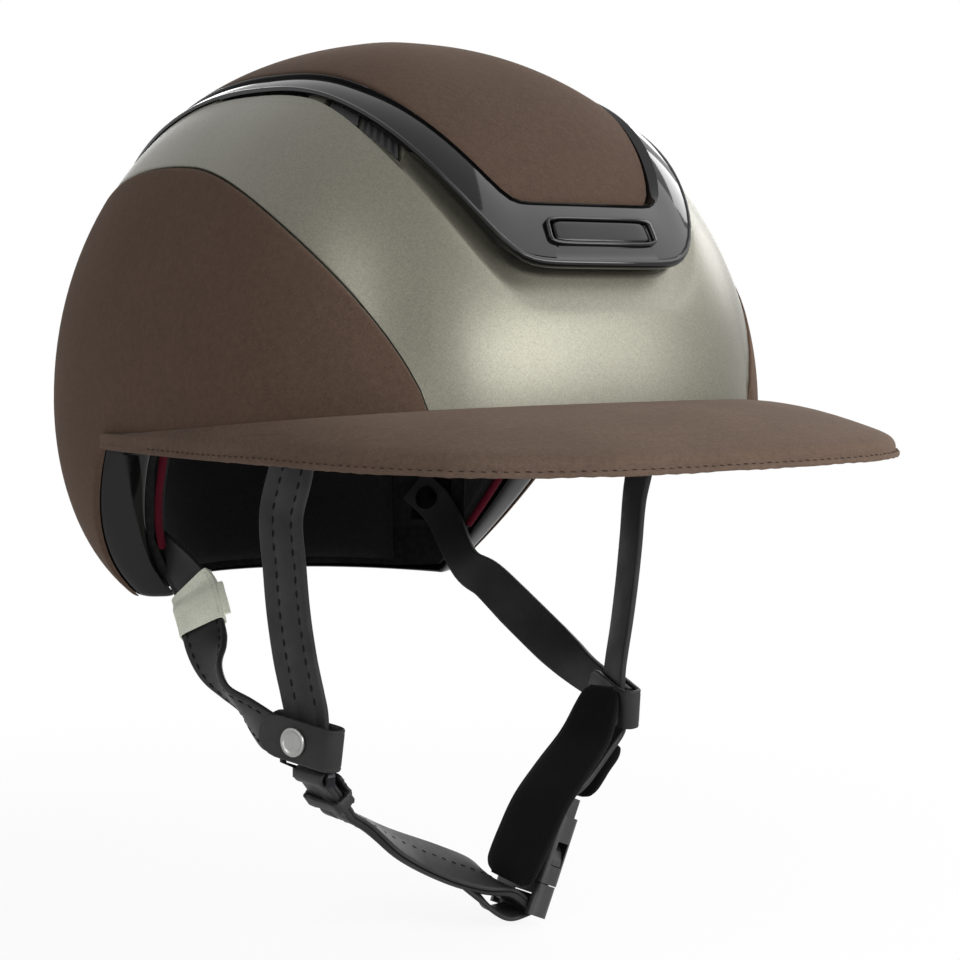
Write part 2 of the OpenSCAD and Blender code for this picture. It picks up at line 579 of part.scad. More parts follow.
rear_down = down_wall(rear_at, [0, -13.6, -8.3]);
lap = strap_t + 0.2;
rear_end = divider + out_dir*lap;
rear_line = concat([for (v = [-9, 8]) seat(rear_at) + rear_down*v],
    [[61.5, 22, -64.8], [65, 11, -71], [68.9, -1, -80.5], [71.4, -10, -87.2], [73, -19, -93],
     [73.6, -29, -98], [73.4, -40, -102.4]],
    [for (v = [-13.5, -8, 8.5]) rear_end + fore_dir*v - [0, 0, 0.12*v]]);
rear_k = [0.83, 0.83, 0.83, 0.87, 0.91, 0.91, 0.91, 0.88, 0.82, 0.74, 0.7, 0.7];
rear_w = [for (k = rear_k) strap_w*k];
// The left rear strap hangs flat, with its outer face turned back and down.
rear_nor = concat([wall_normal(rear_at), wall_normal(rear_at)],
    [[0.9, 0.34, 0.05], [0.8, 0.42, -0.15], [0.75, 0.44, -0.28], [0.74, 0.43, -0.3],
     [0.76, 0.36, -0.28], [0.83, 0.2, -0.18], [0.9, -0.08, -0.08]], [out_dir, out_dir, out_dir]);
// The right rear strap hangs with a twist: face up at the label, edge on below it.
twist_nor = concat([wall_normal(rear_at), wall_normal(rear_at)],
    [[0.8, 0.1, 0.25], [0.66, -0.33, 0.6], [0.7, -0.4, 0.45], [0.8, -0.25, 0.1], [0.85, 0, -0.4],
     [0.75, 0.2, -0.6], [0.9, -0.1, -0.35]], [out_dir, out_dir, out_dir]);
module front_strap(s) {
    color(black) mirror([s < 0 ? 1 : 0, 0, 0]) difference() {
        if (s < 0) loft(band(front_line, front_nor, strap_w, strap_t));
        else loft(band(left_line, left_nor, strap_w, strap_t));
        rivet_bore(front_at);
        at_divider() stud_bore();
    }
}
module rear_strap(s) {
    color(black) mirror([s < 0 ? 1 : 0, 0, 0]) difference() {
        loft(band(rear_line, s < 0 ? twist_nor : rear_nor, rear_w, strap_t));
        rivet_bore(rear_at);
        at_divider() stud_bore();
    }
}
module rivet_bore(at) {
    stand_on(foam_pt(at[0], at[1], 0), wall_normal(at))
        translate([0, 0, -8]) cylinder(h = 10, r = rivet_r + 0.1, $fn = 24);
}

// Anchor plates sit on the foam, and each rivet runs through strap and plate into it.
module strap_anchors() {
    color(steel) at_anchors() difference() {
        translate([-anchor_w/2, -anchor_w/2, -seat_gap - plate_t]) cube([anchor_w, anchor_w, plate_t]);
        translate([0, 0, -4]) cylinder(h = 5, r = rivet_r + 0.1, $fn = 24);
    }
}
module strap_rivets() {
    color(steel) at_anchors() {
        translate([0, 0, -strap_off - strap_t/2 - 1.5]) cylinder(h = 1.4, r = 4.5, $fn = 32);
        translate([0, 0, -strap_off - strap_t/2 - 0.6]) cylinder(h = rivet_deep, r = rivet_r, $fn = 24);
    }
}

// A bare label is sewn to the outside of the right rear strap.
function along(list, v) = mix(list[floor(v)], list[floor(v) + 1], v - floor(v));
module care_label() {
    p = [for (v = [0.15, 1, 1.35]) along(rear_line, 2 + v)];
    n = [for (v = [0.15, 1, 1.35]) along(twist_nor, 2 + v)];
    color([0.82, 0.83, 0.76]) mirror([1, 0, 0]) loft(band(p, n, 14, 0.8, strap_t/2 + 0.7, cut_edge));
}

// The strap divider is a leather band that folds round the front edge of the straps. Its
// axes: x outward, -y forward and down along the rear strap, z across the band.
band_tilt = 8;
module at_divider() {
    translate(divider) rotate([0, 0, strap_turn]) rotate([band_tilt, 0, 0]) children();
}
band_w = 14.5;
fold_y = -12.4;
in_x = -strap_t/2 - 0.15 - divider_t;
out_x = strap_t/2 + lap + 0.15;
stud_y = 1;
post_r = 2;
module stud_bore() {
    translate([-30, stud_y, 0]) rotate([0, 90, 0]) cylinder(h = 60, r = post_r + 0.15, $fn = 24);
}
module band_plate(x0, t, y0, y1) {
    r = band_w/2;
    translate([x0, 0, 0]) rotate([0, 90, 0]) linear_extrude(t) union() {
        translate([-r, y0]) square([2*r, y1 - y0 - r]);
        translate([0, y1 - r]) circle(r, $fn = 40);
    }
}
// The fold turns round the front edge of the straps with a rounded corner.
module fold(t) {
    translate([in_x + t, fold_y]) intersection() {
        circle(t, $fn = 40);
        translate([-t, -t]) square(t);
    }
    translate([in_x + t - 0.01, fold_y - t]) square([out_x - in_x - t - 0.6, t]);
}
module divider_side(s) {
    color(black) mirror([s < 0 ? 1 : 0, 0, 0]) at_divider() {
        difference() {
            band_plate(in_x, divider_t, fold_y, 19);
            stud_bore();
        }
        translate([0, 0.01, -band_w/2]) linear_extrude(band_w) fold(divider_t);
    }
}
pivot_x = out_x + divider_t/2;
pivot_y = fold_y - divider_t/2;
module divider_flap(s) {
    color(black) mirror([s < 0 ? 1 : 0, 0, 0]) at_divider() difference() {
        union() {
            band_plate(out_x, divider_t, pivot_y, 16);
            translate([pivot_x, pivot_y, -band_w/2]) cylinder(h = band_w, r = divider_t/2, $fn = 24);
        }
        translate([0, stud_y, 0]) rotate([0, 90, 0]) cylinder(h = 20, r = neck_r, $fn = 32);
    }
}

// Press stud: the post stands on the inner leather, the cap sits in the flap.
neck_r = 3.2;
cap_r = 5;
module stud_posts() {
    color(steel) for (s = [0, 1]) mirror([s, 0, 0])
        at_divider() translate([0, stud_y, 0]) rotate([0, 90, 0]) {
        translate([0, 0, in_x - 1.1]) cylinder(h = 1, r = cap_r - 1, $fn = 32);
        translate([0, 0, in_x - 0.2]) cylinder(h = out_x + 1.4 - in_x, r = post_r, $fn = 24);
    }
}
module stud_cap(s) {
    color(steel) mirror([s < 0 ? 1 : 0, 0, 0]) at_divider() translate([0, stud_y, 0]) rotate([0, 90, 0])
        difference() {
            union() {
                translate([0, 0, out_x + 0.1]) cylinder(h = divider_t, r = neck_r - 0.1, $fn = 32);
                translate([0, 0, out_x + divider_t + 0.1]) cylinder(h = 1.1, r = cap_r, $fn = 40);
                translate([0, 0, out_x + divider_t + 1.2])
                    cylinder(h = 0.5, r1 = cap_r, r2 = cap_r - 0.7, $fn = 40);
            }
            translate([0, 0, out_x]) cylinder(h = 1.6, r = post_r + 0.4, $fn = 24);
        }
}

// A steel shackle rides on the right divider, and the chin strap turns on its pin.
pin_r = 1.5;
arm_y = strap_w/2 + 0.35;
module chin_shackle() {
    color(steel) mirror([1, 0, 0]) {
        for (k = [-1, 1]) {
            low = ring_pt + [0, k*(arm_y + 0.75), 0];
            top = divider + fore_dir*(-k*(arm_y + 0.75)) + out_dir*0.05;
            loft([for (r = [[low - [0, 0, 1.8], 1.5], [low + [0, 0, 1.4], 1.5],
                            [top - [0, 0, 8.6], 0.85], [top + [0, 0, 3], 0.85]])
                [for (c = [[1, -1], [1, 1], [-1, 1], [-1, -1]]) r[0] + [r[1]*c[0], 0.75*c[1], 0]]]);
        }
        translate(ring_pt - [0, arm_y + 1.5, 0]) rotate([-90, 0, 0])
            cylinder(h = 2*arm_y + 3, r = pin_r, $fn = 24);
    }
}

module at_buckle() {
    translate(mouth) rotate([0, buckle_turn, 0]) children();
}
cavity_w = buckle_w - 4.4;
cavity_t = buckle_t - 4;
module socket_block(w, t, l, r) {
    linear_extrude(l) union() {
        square([t - 2*r, w], center = true);
        square([t, w - 2*r], center = true);
        for (x = [-1, 1]) for (y = [-1, 1]) translate([x*(t/2 - r), y*(w/2 - r)]) circle(r, $fn = 24);
    }
}
module buckle_socket() {
    color(gloss) at_buckle() difference() {
        union() {
            socket_block(buckle_w, buckle_t, socket_l, 3);
            translate([-2.5, -buckle_w/2 + 1.5, socket_l - 0.1]) cube([5, buckle_w - 3, 7]);
        }
        translate([-cavity_t/2, -cavity_w/2, -1]) cube([cavity_t, cavity_w, tongue_l + 2.2]);
        translate([-blade_t/2 - 0.3, -buckle_w/2 - 1, 6.7]) cube([blade_t + 0.6, buckle_w + 2, 8.8]);
        translate([-5, -strap_w/2 - 0.5, socket_l - 1.2]) cube([10, strap_w + 1, 4]);
    }
}

// Tongue: a base with a bar for the chin strap, and a guide blade between two sprung prongs
blade_t = cavity_t - 2*socket_gap - 0.2;
bar_z = -8.2;
prong_y = 8.2;
module buckle_tongue() {
    color(gloss) at_buckle() {
        difference() {
            translate([0, 0, bar_z - 3.6]) socket_block(buckle_w, buckle_t - 0.6, 3.3 - bar_z, 3);
            translate([-6, -strap_w/2 - 0.6, bar_z - 6]) cube([12, strap_w + 1.2, 9.8]);
            for (s = [-1, 1]) translate([-blade_t/2 - 0.25, s*prong_y - 2.1, -2.8])
                cube([blade_t + 0.5, 4.2, 4]);
        }
        translate([0, -strap_w/2 - 1, bar_z]) rotate([-90, 0, 0])
            cylinder(h = strap_w + 2, r = 1.6, $fn = 24);
        translate([-blade_t/2, -3.4, -0.5]) cube([blade_t, 6.8, tongue_l - 1]);
        for (s = [-1, 1]) translate([-buckle_t/2 + 1.2, s*prong_y, prong_z]) rotate([0, 90, 0])
            cylinder(h = buckle_t - 2.4, r = 0.8, $fn = 20);
    }
}
prong_z = -0.9;
module buckle_prong(s) {
    t = blade_t;
    color(gloss) at_buckle() mirror([0, s < 0 ? 1 : 0, 0]) difference() {
        union() {
            translate([-t/2, prong_y, prong_z]) rotate([0, 90, 0]) cylinder(h = t, r = 1.7, $fn = 28);
            translate([-t/2, prong_y - 0.9, prong_z]) cube([t, 2.2, 14]);
            translate([-t/2, 0, 0]) rotate([90, 0, 90]) linear_extrude(t)
                polygon([[prong_y - 0.9, 7], [prong_y + 4.6, 7], [prong_y + 4.4, 9], [prong_y + 2.8, 12.4],
                         [prong_y + 0.4, 14.6], [prong_y - 0.9, 14.6]]);
        }
        translate([-t, prong_y, prong_z]) rotate([0, 90, 0]) cylinder(h = 2*t, r = 0.8 + run_fit, $fn = 20);
    }
}

// Chin strap: a loop on the ring, a straight length for the keeper, the hanging bow and a
// loop round the tongue's bar
loop_in = pin_r + run_fit;
tail = mouth + in_dir*bar_z;
run_dir = unit([0.598, 0, -0.80]);
chin_top = [-ring_pt[0], ring_pt[1], ring_pt[2]];
chin_line = concat([for (v = [loop_in + 0.4, 6, 12, 17.5]) chin_top + run_dir*v],
    [[-46.2, -64.2, -137.9], [-32, -64.6, -147.6], [-13, -65, -157], [2, -65, -163.6], [12.5, -64.6, -169]],
    [tail - [2.9, 0, -1]]);
// The bow leans: its rear edge stands higher than its front edge, by these angles.
chin_lean = [0, 0, 0, 0, 8, 24, 34, 28, 4, 0];
function leaning(p, lean) = [for (i = [0:len(p) - 1]) let (d = dir_at(p, i))
    cos(lean[i])*unit([d[2], 0, -d[0]]) + sin(lean[i])*[0, 1, 0]];
chin_nor = leaning(chin_line, chin_lean);
module chin_loop(at, r, t, w) {
    translate(at - [0, w/2, 0]) rotate([-90, 0, 0]) difference() {
        cylinder(h = w, r = r + t, $fn = 32);
        translate([0, 0, -1]) cylinder(h = w + 2, r = r, $fn = 28);
    }
}
fold_line = [[-5, -64.8, -161.6], [1.5, -64.8, -168.2], [7.5, -64.8, -175], [13.2, -64.5, -178.8],
    [tail[0] - 0.4, -64, tail[2] - 2.7]];
fold_nor = leaning(fold_line, [34, 26, 14, 4, 0]);
module chin_strap() {
    color(black) union() {
        loft(band(chin_line, chin_nor, strap_w - 0.6, chin_t));
        chin_loop(chin_top, loop_in, 1.4, strap_w - 0.6);
        chin_loop(tail, 1.95, 1.5, strap_w - 0.6);
        loft(band(fold_line, fold_nor, strap_w - 0.6, 1.5));
    }
}

// The keeper is a leather loop that slides along the straight length.
keeper_s = 4;
keeper_l = 8;
module at_keeper() {
    translate(chin_top + run_dir*keeper_s) rotate([0, atan2(run_dir[0], run_dir[2]), 0]) children();
}
module strap_keeper() {
    w = strap_w - 0.6 + 0.7;
    t = chin_t + 0.6;
    color(black) at_keeper() difference() {
        translate([-t/2 - 1.6, -w/2 - 1.6, 0]) cube([t + 3.2, w + 3.2, keeper_l]);
        translate([-t/2, -w/2, -1]) cube([t, w, keeper_l + 2]);
        translate([-20, 0, keeper_l/2]) rotate([0, 90, 0]) cylinder(h = 20, r = 1.3, $fn = 20);
    }
}
module keeper_stud() {
    x = -chin_t/2 - 0.3;
    color(steel) at_keeper() translate([x, 0, keeper_l/2]) rotate([0, -90, 0]) {
        cylinder(h = 1.9, r = 1.2, $fn = 20);
        translate([0, 0, 1.7]) cylinder(h = 1.2, r = 3.4, $fn = 32);
    }
}

// Left side: a short strap from the ring to the socket, and the chin pad with its flap
pad_line = [[60, -64.5, -102], [57, -65, -109.5], [51.2, -65.5, -119.6], [40.9, -66, -129.7],
    [30.2, -66, -140.2], [22.6, -66, -151], [16.6, -66, -160.4], [13.4, -65.5, -166.4]];
pad_wide = [14, 21, 25, 27, 27, 26, 23, 14];
pad_thick = [2.6, 5, 5.6, 5.6, 5.2, 5.6, 5, 2.6];
pad_nor = [for (i = [0:7]) let (d = dir_at(pad_line, i)) unit([-d[2], 0, d[0]])];
function pillow(p, nor, wide, thick) = [for (i = [0:len(p) - 1])
    let (d = dir_at(p, i), u = unit(cross(nor[i], d)), n = cross(d, u))
    [for (c = [[0.5, -0.2], [0.5, 0.1], [0.42, 0.36], [0.22, 0.5], [-0.22, 0.5], [-0.42, 0.36], [-0.5, 0.1],
               [-0.5, -0.2], [-0.42, -0.42], [-0.22, -0.5], [0.22, -0.5], [0.42, -0.42]])
        p[i] + u*wide[i]*c[0] + n*thick[i]*c[1]]];
module chin_pad() {
    color(black) loft(pillow(pad_line, pad_nor, pad_wide, pad_thick));
}
flap_line = [[64.8, -60, -123.6], [61.4, -60, -127], [56.4, -60, -131.6], [51.6, -60, -137.6],
    [48.8, -60, -141.2]];
flap_wide = [20, 25, 26, 25, 20];
flap_nor = [for (i = [0:4]) let (d = dir_at(flap_line, i)) unit([-d[2], 0, d[0]])];
module chin_pad_flap() {
    color(black) loft(pillow(flap_line, flap_nor, flap_wide, [2.4, 4, 4.4, 4, 2.4]));
}

outer_shell();
side_cover(-1);  // side_cover_right
side_cover(1);  // side_cover_left
crown_cover();
vent_frame();
front_plate();
vent_grilles();
edge_trim();
brow_trim();
foam_liner();
peak_board();
peak_top_cover();
peak_under_cover();
brow_pad();
crown_pad();
rear_pad();
side_pads();
ear_pads();
liner_piping();
strap_anchors();
strap_rivets();
front_strap(-1);  // front_strap_right
front_strap(1);  // front_strap_left
rear_strap(-1);  // rear_strap_right
rear_strap(1);  // rear_strap_left
care_label();
divider_side(-1);  // divider_right
divider_side(1);  // divider_left
divider_flap(-1);  // divider_flap_right
divider_flap(1);  // divider_flap_left
stud_posts();
stud_cap(-1);  // stud_cap_right
stud_cap(1);  // stud_cap_left
chin_shackle();
chin_strap();
strap_keeper();
keeper_stud();
chin_pad();
chin_pad_flap();
buckle_socket();
buckle_tongue();
buckle_prong(-1);  // buckle_prong_front
buckle_prong(1);  // buckle_prong_rear
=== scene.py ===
import math

import bmesh
import bpy
import numpy as np
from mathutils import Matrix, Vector


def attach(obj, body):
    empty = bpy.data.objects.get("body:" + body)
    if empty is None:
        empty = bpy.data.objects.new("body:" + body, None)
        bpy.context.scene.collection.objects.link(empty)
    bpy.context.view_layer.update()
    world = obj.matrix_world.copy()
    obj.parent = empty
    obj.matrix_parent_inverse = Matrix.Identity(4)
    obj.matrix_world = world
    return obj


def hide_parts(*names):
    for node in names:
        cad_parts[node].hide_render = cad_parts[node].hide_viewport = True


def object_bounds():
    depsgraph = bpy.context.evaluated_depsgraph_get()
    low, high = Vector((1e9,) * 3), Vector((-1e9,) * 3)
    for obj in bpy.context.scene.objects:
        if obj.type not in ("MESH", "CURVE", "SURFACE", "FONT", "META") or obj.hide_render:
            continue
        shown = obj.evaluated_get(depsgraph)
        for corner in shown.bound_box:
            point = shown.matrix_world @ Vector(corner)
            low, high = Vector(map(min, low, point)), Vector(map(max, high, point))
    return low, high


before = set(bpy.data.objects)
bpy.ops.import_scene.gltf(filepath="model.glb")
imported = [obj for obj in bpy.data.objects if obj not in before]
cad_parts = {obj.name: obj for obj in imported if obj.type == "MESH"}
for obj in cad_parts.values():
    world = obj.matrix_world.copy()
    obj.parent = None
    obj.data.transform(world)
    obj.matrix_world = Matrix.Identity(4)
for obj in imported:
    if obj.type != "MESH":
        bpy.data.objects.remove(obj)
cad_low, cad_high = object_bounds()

# Studio. A pale sweep under the helmet, six large soft lamps and a white surround. The camera
# stands low on the wearer's right of the front.
FLOOR_Z, FLOOR_HALF = cad_low.z - 0.0015, 12.0
CAMERA_AT, CAMERA_DOWN, CAMERA_TURN = (-0.4648, -0.6932, 0.0372), 4.469, -36.742

camera_data = bpy.data.cameras.new("view")
camera_data.sensor_width = 36.0
camera_data.lens = 84.87
camera_data.clip_end = 60.0
camera = bpy.data.objects.new("view", camera_data)
camera.location = CAMERA_AT
camera.rotation_euler = (math.radians(90 - CAMERA_DOWN), 0.0, math.radians(CAMERA_TURN))
bpy.context.scene.collection.objects.link(camera)
bpy.context.scene.camera = camera
bpy.context.scene.view_settings.view_transform = "Standard"


def fill(tree, made, inputs):
    """Sets a node's inputs, where each is a value or another node's socket."""
    for key, value in inputs.items():
        if isinstance(value, bpy.types.NodeSocket):
            tree.links.new(value, made.inputs[key])
        else:
            made.inputs[key].default_value = value


def node(tree, kind, inputs=None, **settings):
    """A new shader node with its settings and its inputs."""
    made = tree.nodes.new(kind)
    for key, value in settings.items():
        setattr(made, key, value)
    fill(tree, made, inputs or {})
    return made


def maths(tree, operation, *values):
    return node(tree, "ShaderNodeMath", dict(enumerate(values)), operation=operation).outputs[0]


def seen_directly(tree):
    """1 for camera, glossy and transmitted rays, and 0 for the rest."""
    path = node(tree, "ShaderNodeLightPath").outputs
    first = maths(tree, "MAXIMUM", path["Is Camera Ray"], path["Is Glossy Ray"])
    return maths(tree, "MAXIMUM", first, path["Is Transmission Ray"])


world = bpy.data.worlds.new("surround")
bpy.context.scene.world = world
world.use_nodes = True
tree = world.node_tree
tree.nodes.clear()
soft = node(tree, "ShaderNodeBackground", {"Color": (0.95, 0.97, 1.0, 1), "Strength": 0.23})
white = node(tree, "ShaderNodeBackground", {"Color": (1, 1, 1, 1), "Strength": 1.0})
both = node(tree, "ShaderNodeMixShader", {0: seen_directly(tree), 1: soft.outputs[0],
                                          2: white.outputs[0]})
node(tree, "ShaderNodeOutputWorld", {"Surface": both.outputs[0]})

floor_material = bpy.data.materials.new("pale_sweep")
floor_material.use_nodes = True
tree = floor_material.node_tree
tree.nodes.clear()
lit = node(tree, "ShaderNodeBsdfDiffuse", {"Color": (0.86, 0.86, 0.86, 1)})
glow = node(tree, "ShaderNodeEmission", {"Color": (1, 1, 1, 1), "Strength": 1.0})
place = node(tree, "ShaderNodeNewGeometry").outputs["Position"]
apart = node(tree, "ShaderNodeVectorMath", {0: place}, operation="LENGTH")
far = node(tree, "ShaderNodeMapRange", {"Value": apart.outputs["Value"], "From Min": 0.2,
                                        "From Max": 0.5, "To Min": 0.9, "To Max": 1.0},
           interpolation_type="SMOOTHSTEP")
share = maths(tree, "MULTIPLY", seen_directly(tree), far.outputs[0])
both = node(tree, "ShaderNodeMixShader", {0: share, 1: lit.outputs[0], 2: glow.outputs[0]})
node(tree, "ShaderNodeOutputMaterial", {"Surface": both.outputs[0]})
floor_mesh = bpy.data.meshes.new("floor")
floor_mesh.from_pydata([(x * FLOOR_HALF, y * FLOOR_HALF, FLOOR_Z)
                        for x, y in ((-1, -1), (1, -1), (1, 1), (-1, 1))], [], [(0, 1, 2, 3)])
floor_mesh.materials.append(floor_material)
floor = bpy.data.objects.new("floor", floor_mesh)
bpy.context.scene.collection.objects.link(floor)


def softbox(name, place, target, wide, high, watts):
    """A large rectangular lamp that faces the target."""
    lamp = bpy.data.lights.new(name, "AREA")
    lamp.shape = "RECTANGLE"
    lamp.size, lamp.size_y = wide, high
    lamp.energy = watts
    obj = bpy.data.objects.new(name, lamp)
    obj.location = place
    aim = Vector(target) - Vector(place)
    obj.rotation_euler = aim.to_track_quat("-Z", "Y").to_euler()
    bpy.context.scene.collection.objects.link(obj)


softbox("key", (0.45, -1.35, 0.42), (0.02, -0.08, 0.0), 1.1, 0.5, 17)
softbox("side", (-1.3, -0.5, 0.9), (0, 0, 0.0), 0.8, 0.8, 6)
softbox("right", (0.85, -0.65, 1.0), (0, -0.08, 0.03), 1.2, 1.0, 8)
softbox("far", (1.2, 0.12, 0.62), (0, -0.08, 0.03), 0.55, 0.6, 5)
softbox("rear", (0.95, 1.2, 0.25), (0, 0, 0.02), 1.2, 0.9, 8)
softbox("low_front", (-0.9, -1.3, -0.02), (0, -0.05, -0.05), 1.0, 0.3, 3)

# Outer shell. Moulded, and sprayed in an olive-grey metallic lacquer. It has a sunk bed for
# each suede panel, a scoop under the front bar and an open air channel under each rail.
MM = 0.001
HALF_W, FRONT, REAR, CROWN = 106.0, 124.0, 166.0, 128.0
TUCK, TUCK_DROP = 4.5, 85.0
WIDE_Y = (FRONT - REAR) / 2
RECESS, CHANNEL, SHELL_WALL = 1.8, 3.0, 4.5
BAR_LOW, BAR_RISE, BAR_OPEN = 21.5, 10.5, 20.0
BAR_PROUD, RAIL_PROUD = 5.5, 1.8
FRAME_HALF, RAIL_W = 58.5, 8.0
OUT_REACH, IN_REACH = (FRONT - 4.5, 150.0), (FRONT - 8.0, 128.0)
COVER_MID, COVER_SPAN, COVER_LAT = 103.0, 69.0, 41.0
COVER_FROM, COVER_TO = COVER_MID - COVER_SPAN, COVER_MID + COVER_SPAN
WINDOWS = ((38.5, 57.0), (65.0, 104.0))
SLACK = 0.1
NAPE_DROP, TEMPLE_DROP = 70, 13
NAPE_LAT = -math.degrees(math.asin(NAPE_DROP / TUCK_DROP))
TEMPLE_LAT = -math.degrees(math.asin(TEMPLE_DROP / TUCK_DROP))
EAR_FROM, EAR_RATE = 100.0, 2.37
EAR_TO = EAR_FROM + (TEMPLE_LAT - NAPE_LAT) / EAR_RATE


def mix(a, b, k):
    return a + (b - a) * k


def smooth(v):
    k = np.clip(v, 0, 1)
    return k * k * (3 - 2 * k)


def sind(a):
    return np.sin(np.radians(a))


def cosd(a):
    return np.cos(np.radians(a))


def signed_power(v, e):
    return np.sign(v) * np.abs(v) ** e


def plan_power(a):
    return np.where(cosd(a) > 0, 2.95, 2.08)


def plan_norm(a):
    n = plan_power(a)
    return (np.abs(sind(a)) ** n + np.abs(cosd(a)) ** n) ** (1 / n)


def crown_power(a):
    w = 0.5 + 0.5 * signed_power(cosd(a) / plan_norm(a), plan_power(a) / 2)
    return 1.9 * w + 2.38 * (1 - w)


def half_length(a):
    return np.where(cosd(a) > 0, FRONT, REAR)


def skin(a, t, d):
    """A point at plan angle a (0 front, 90 wearer's left), latitude t, d outside the shell."""
    a, t, d = np.broadcast_arrays(np.asarray(a, float), np.asarray(t, float),
                                  np.asarray(d, float))
    level = np.maximum(cosd(t), 0) ** (2 / np.where(t >= 0, crown_power(a), TUCK))
    n = plan_norm(a)
    return np.stack([(HALF_W + d) * level * sind(a) / n,
                     WIDE_Y - (half_length(a) + d) * level * cosd(a) / n,
                     np.where(t >= 0, (CROWN + d) * sind(t), TUCK_DROP * sind(t))], -1)


def loop_lat(a, half_w, ahead, behind, p, least, sharp):
    """Latitude of a loop that is drawn in plan, and never lower than least."""
    reach = half_length(a) * cosd(a) / np.where(cosd(a) > 0, ahead, behind)
    r = (np.abs(HALF_W * sind(a) / half_w) ** p + np.abs(reach) ** p) ** (-1 / p)
    t = np.degrees(np.arccos(np.minimum(0.999, plan_norm(a) * r) ** (crown_power(a) / 2)))
    return least * ((t / least) ** sharp + 1) ** (1 / sharp)


def frame_out(a):
    return loop_lat(a, FRAME_HALF, *OUT_REACH, 3.2, BAR_LOW, 12)


def frame_in(a):
    return loop_lat(a, FRAME_HALF - RAIL_W, *IN_REACH, 2.5, BAR_LOW + BAR_RISE, 26)


def back(a):
    return np.abs((np.asarray(a, float) + 180) % 360 - 180)


def cover_top(a):
    k = 1 - (np.abs(back(a) - COVER_MID) / COVER_SPAN) ** 2.2
    return COVER_LAT * np.maximum(0, k) ** 0.75


def rim_lat(a):
    return np.clip(TEMPLE_LAT - EAR_RATE * (back(a) - EAR_FROM), NAPE_LAT, TEMPLE_LAT)


def rim_lift(a):
    bump = np.clip(1.6 - np.abs(back(a) - (EAR_FROM + EAR_TO) / 2) / 12, 0, 1)
    return 1.7 * (1 + 1.1 * bump)


def columns(keys, step):
    """Plan angles for one half, no further apart than step, with every key among them."""
    half = []
    for start, end in zip(keys, keys[1:]):
        n = max(1, math.ceil((end - start) / step - 1e-3))
        half += [start + (end - start) * i / n for i in range(n)]
    return half


def whole_ring(half):
    return np.array([-v for v in half[:0:-1]] + half + [180.0])


WINDOW_KEYS = [37.5, 38.5, 57, 57.8, 64.2, 65, 104, 105.2]
KEYS = sorted(WINDOW_KEYS + [0, BAR_OPEN, 24, COVER_FROM - 0.2, COVER_FROM, 100, EAR_TO, COVER_TO,
                             COVER_TO + 0.2, 180])
RING = whole_ring(columns(KEYS, 2.0))


def sheet_faces(rows, cols, start, ring):
    last = cols if ring else cols - 1
    return [(start + j * cols + i, start + j * cols + (i + 1) % cols,
             start + (j + 1) * cols + (i + 1) % cols, start + (j + 1) * cols + i)
            for j in range(rows - 1) for i in range(last)]


def make_piece(name, points, faces, body, material, slot, nodes=(), sharp=38, side=1):
    """A closed mesh in millimetres, mirrored for side -1, becomes a piece on a body."""
    mesh = bpy.data.meshes.new(name)
    mesh.from_pydata((np.asarray(points, float) * (side * MM, MM, MM)).tolist(), [], faces)
    shape = bmesh.new()
    shape.from_mesh(mesh)
    bmesh.ops.remove_doubles(shape, verts=shape.verts, dist=1e-6)
    bmesh.ops.recalc_face_normals(shape, faces=shape.faces)
    shape.to_mesh(mesh)
    shape.free()
    mesh.shade_smooth()
    mesh.set_sharp_from_angle(angle=math.radians(sharp))
    mesh.materials.append(material)
    obj = bpy.data.objects.new(name, mesh)
    bpy.context.scene.collection.objects.link(obj)
    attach(obj, body)
    if nodes:
        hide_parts(*nodes)
    return obj


def bowl(outer, inner, tip_out, tip_in):
    """Points and faces of a bowl whose two rings of rows each close at a tip."""
    nr, nc = outer.shape[:2]
    mr = inner.shape[0]
    base = nr * nc
    tips = base + mr * nc
    points = np.concatenate([outer.reshape(-1, 3), inner.reshape(-1, 3), [tip_out, tip_in]])
    faces = sheet_faces(nr, nc, 0, True) + sheet_faces(mr, nc, base, True)
    for i in range(nc):
        j = (i + 1) % nc
        faces += [(i, j, base + j, base + i),
                  ((nr - 1) * nc + i, (nr - 1) * nc + j, tips),
                  (base + (mr - 1) * nc + i, base + (mr - 1) * nc + j, tips + 1)]
    return points, faces


def between_lat(low, high, shares):
    return [mix(low, high, k) for k in shares]


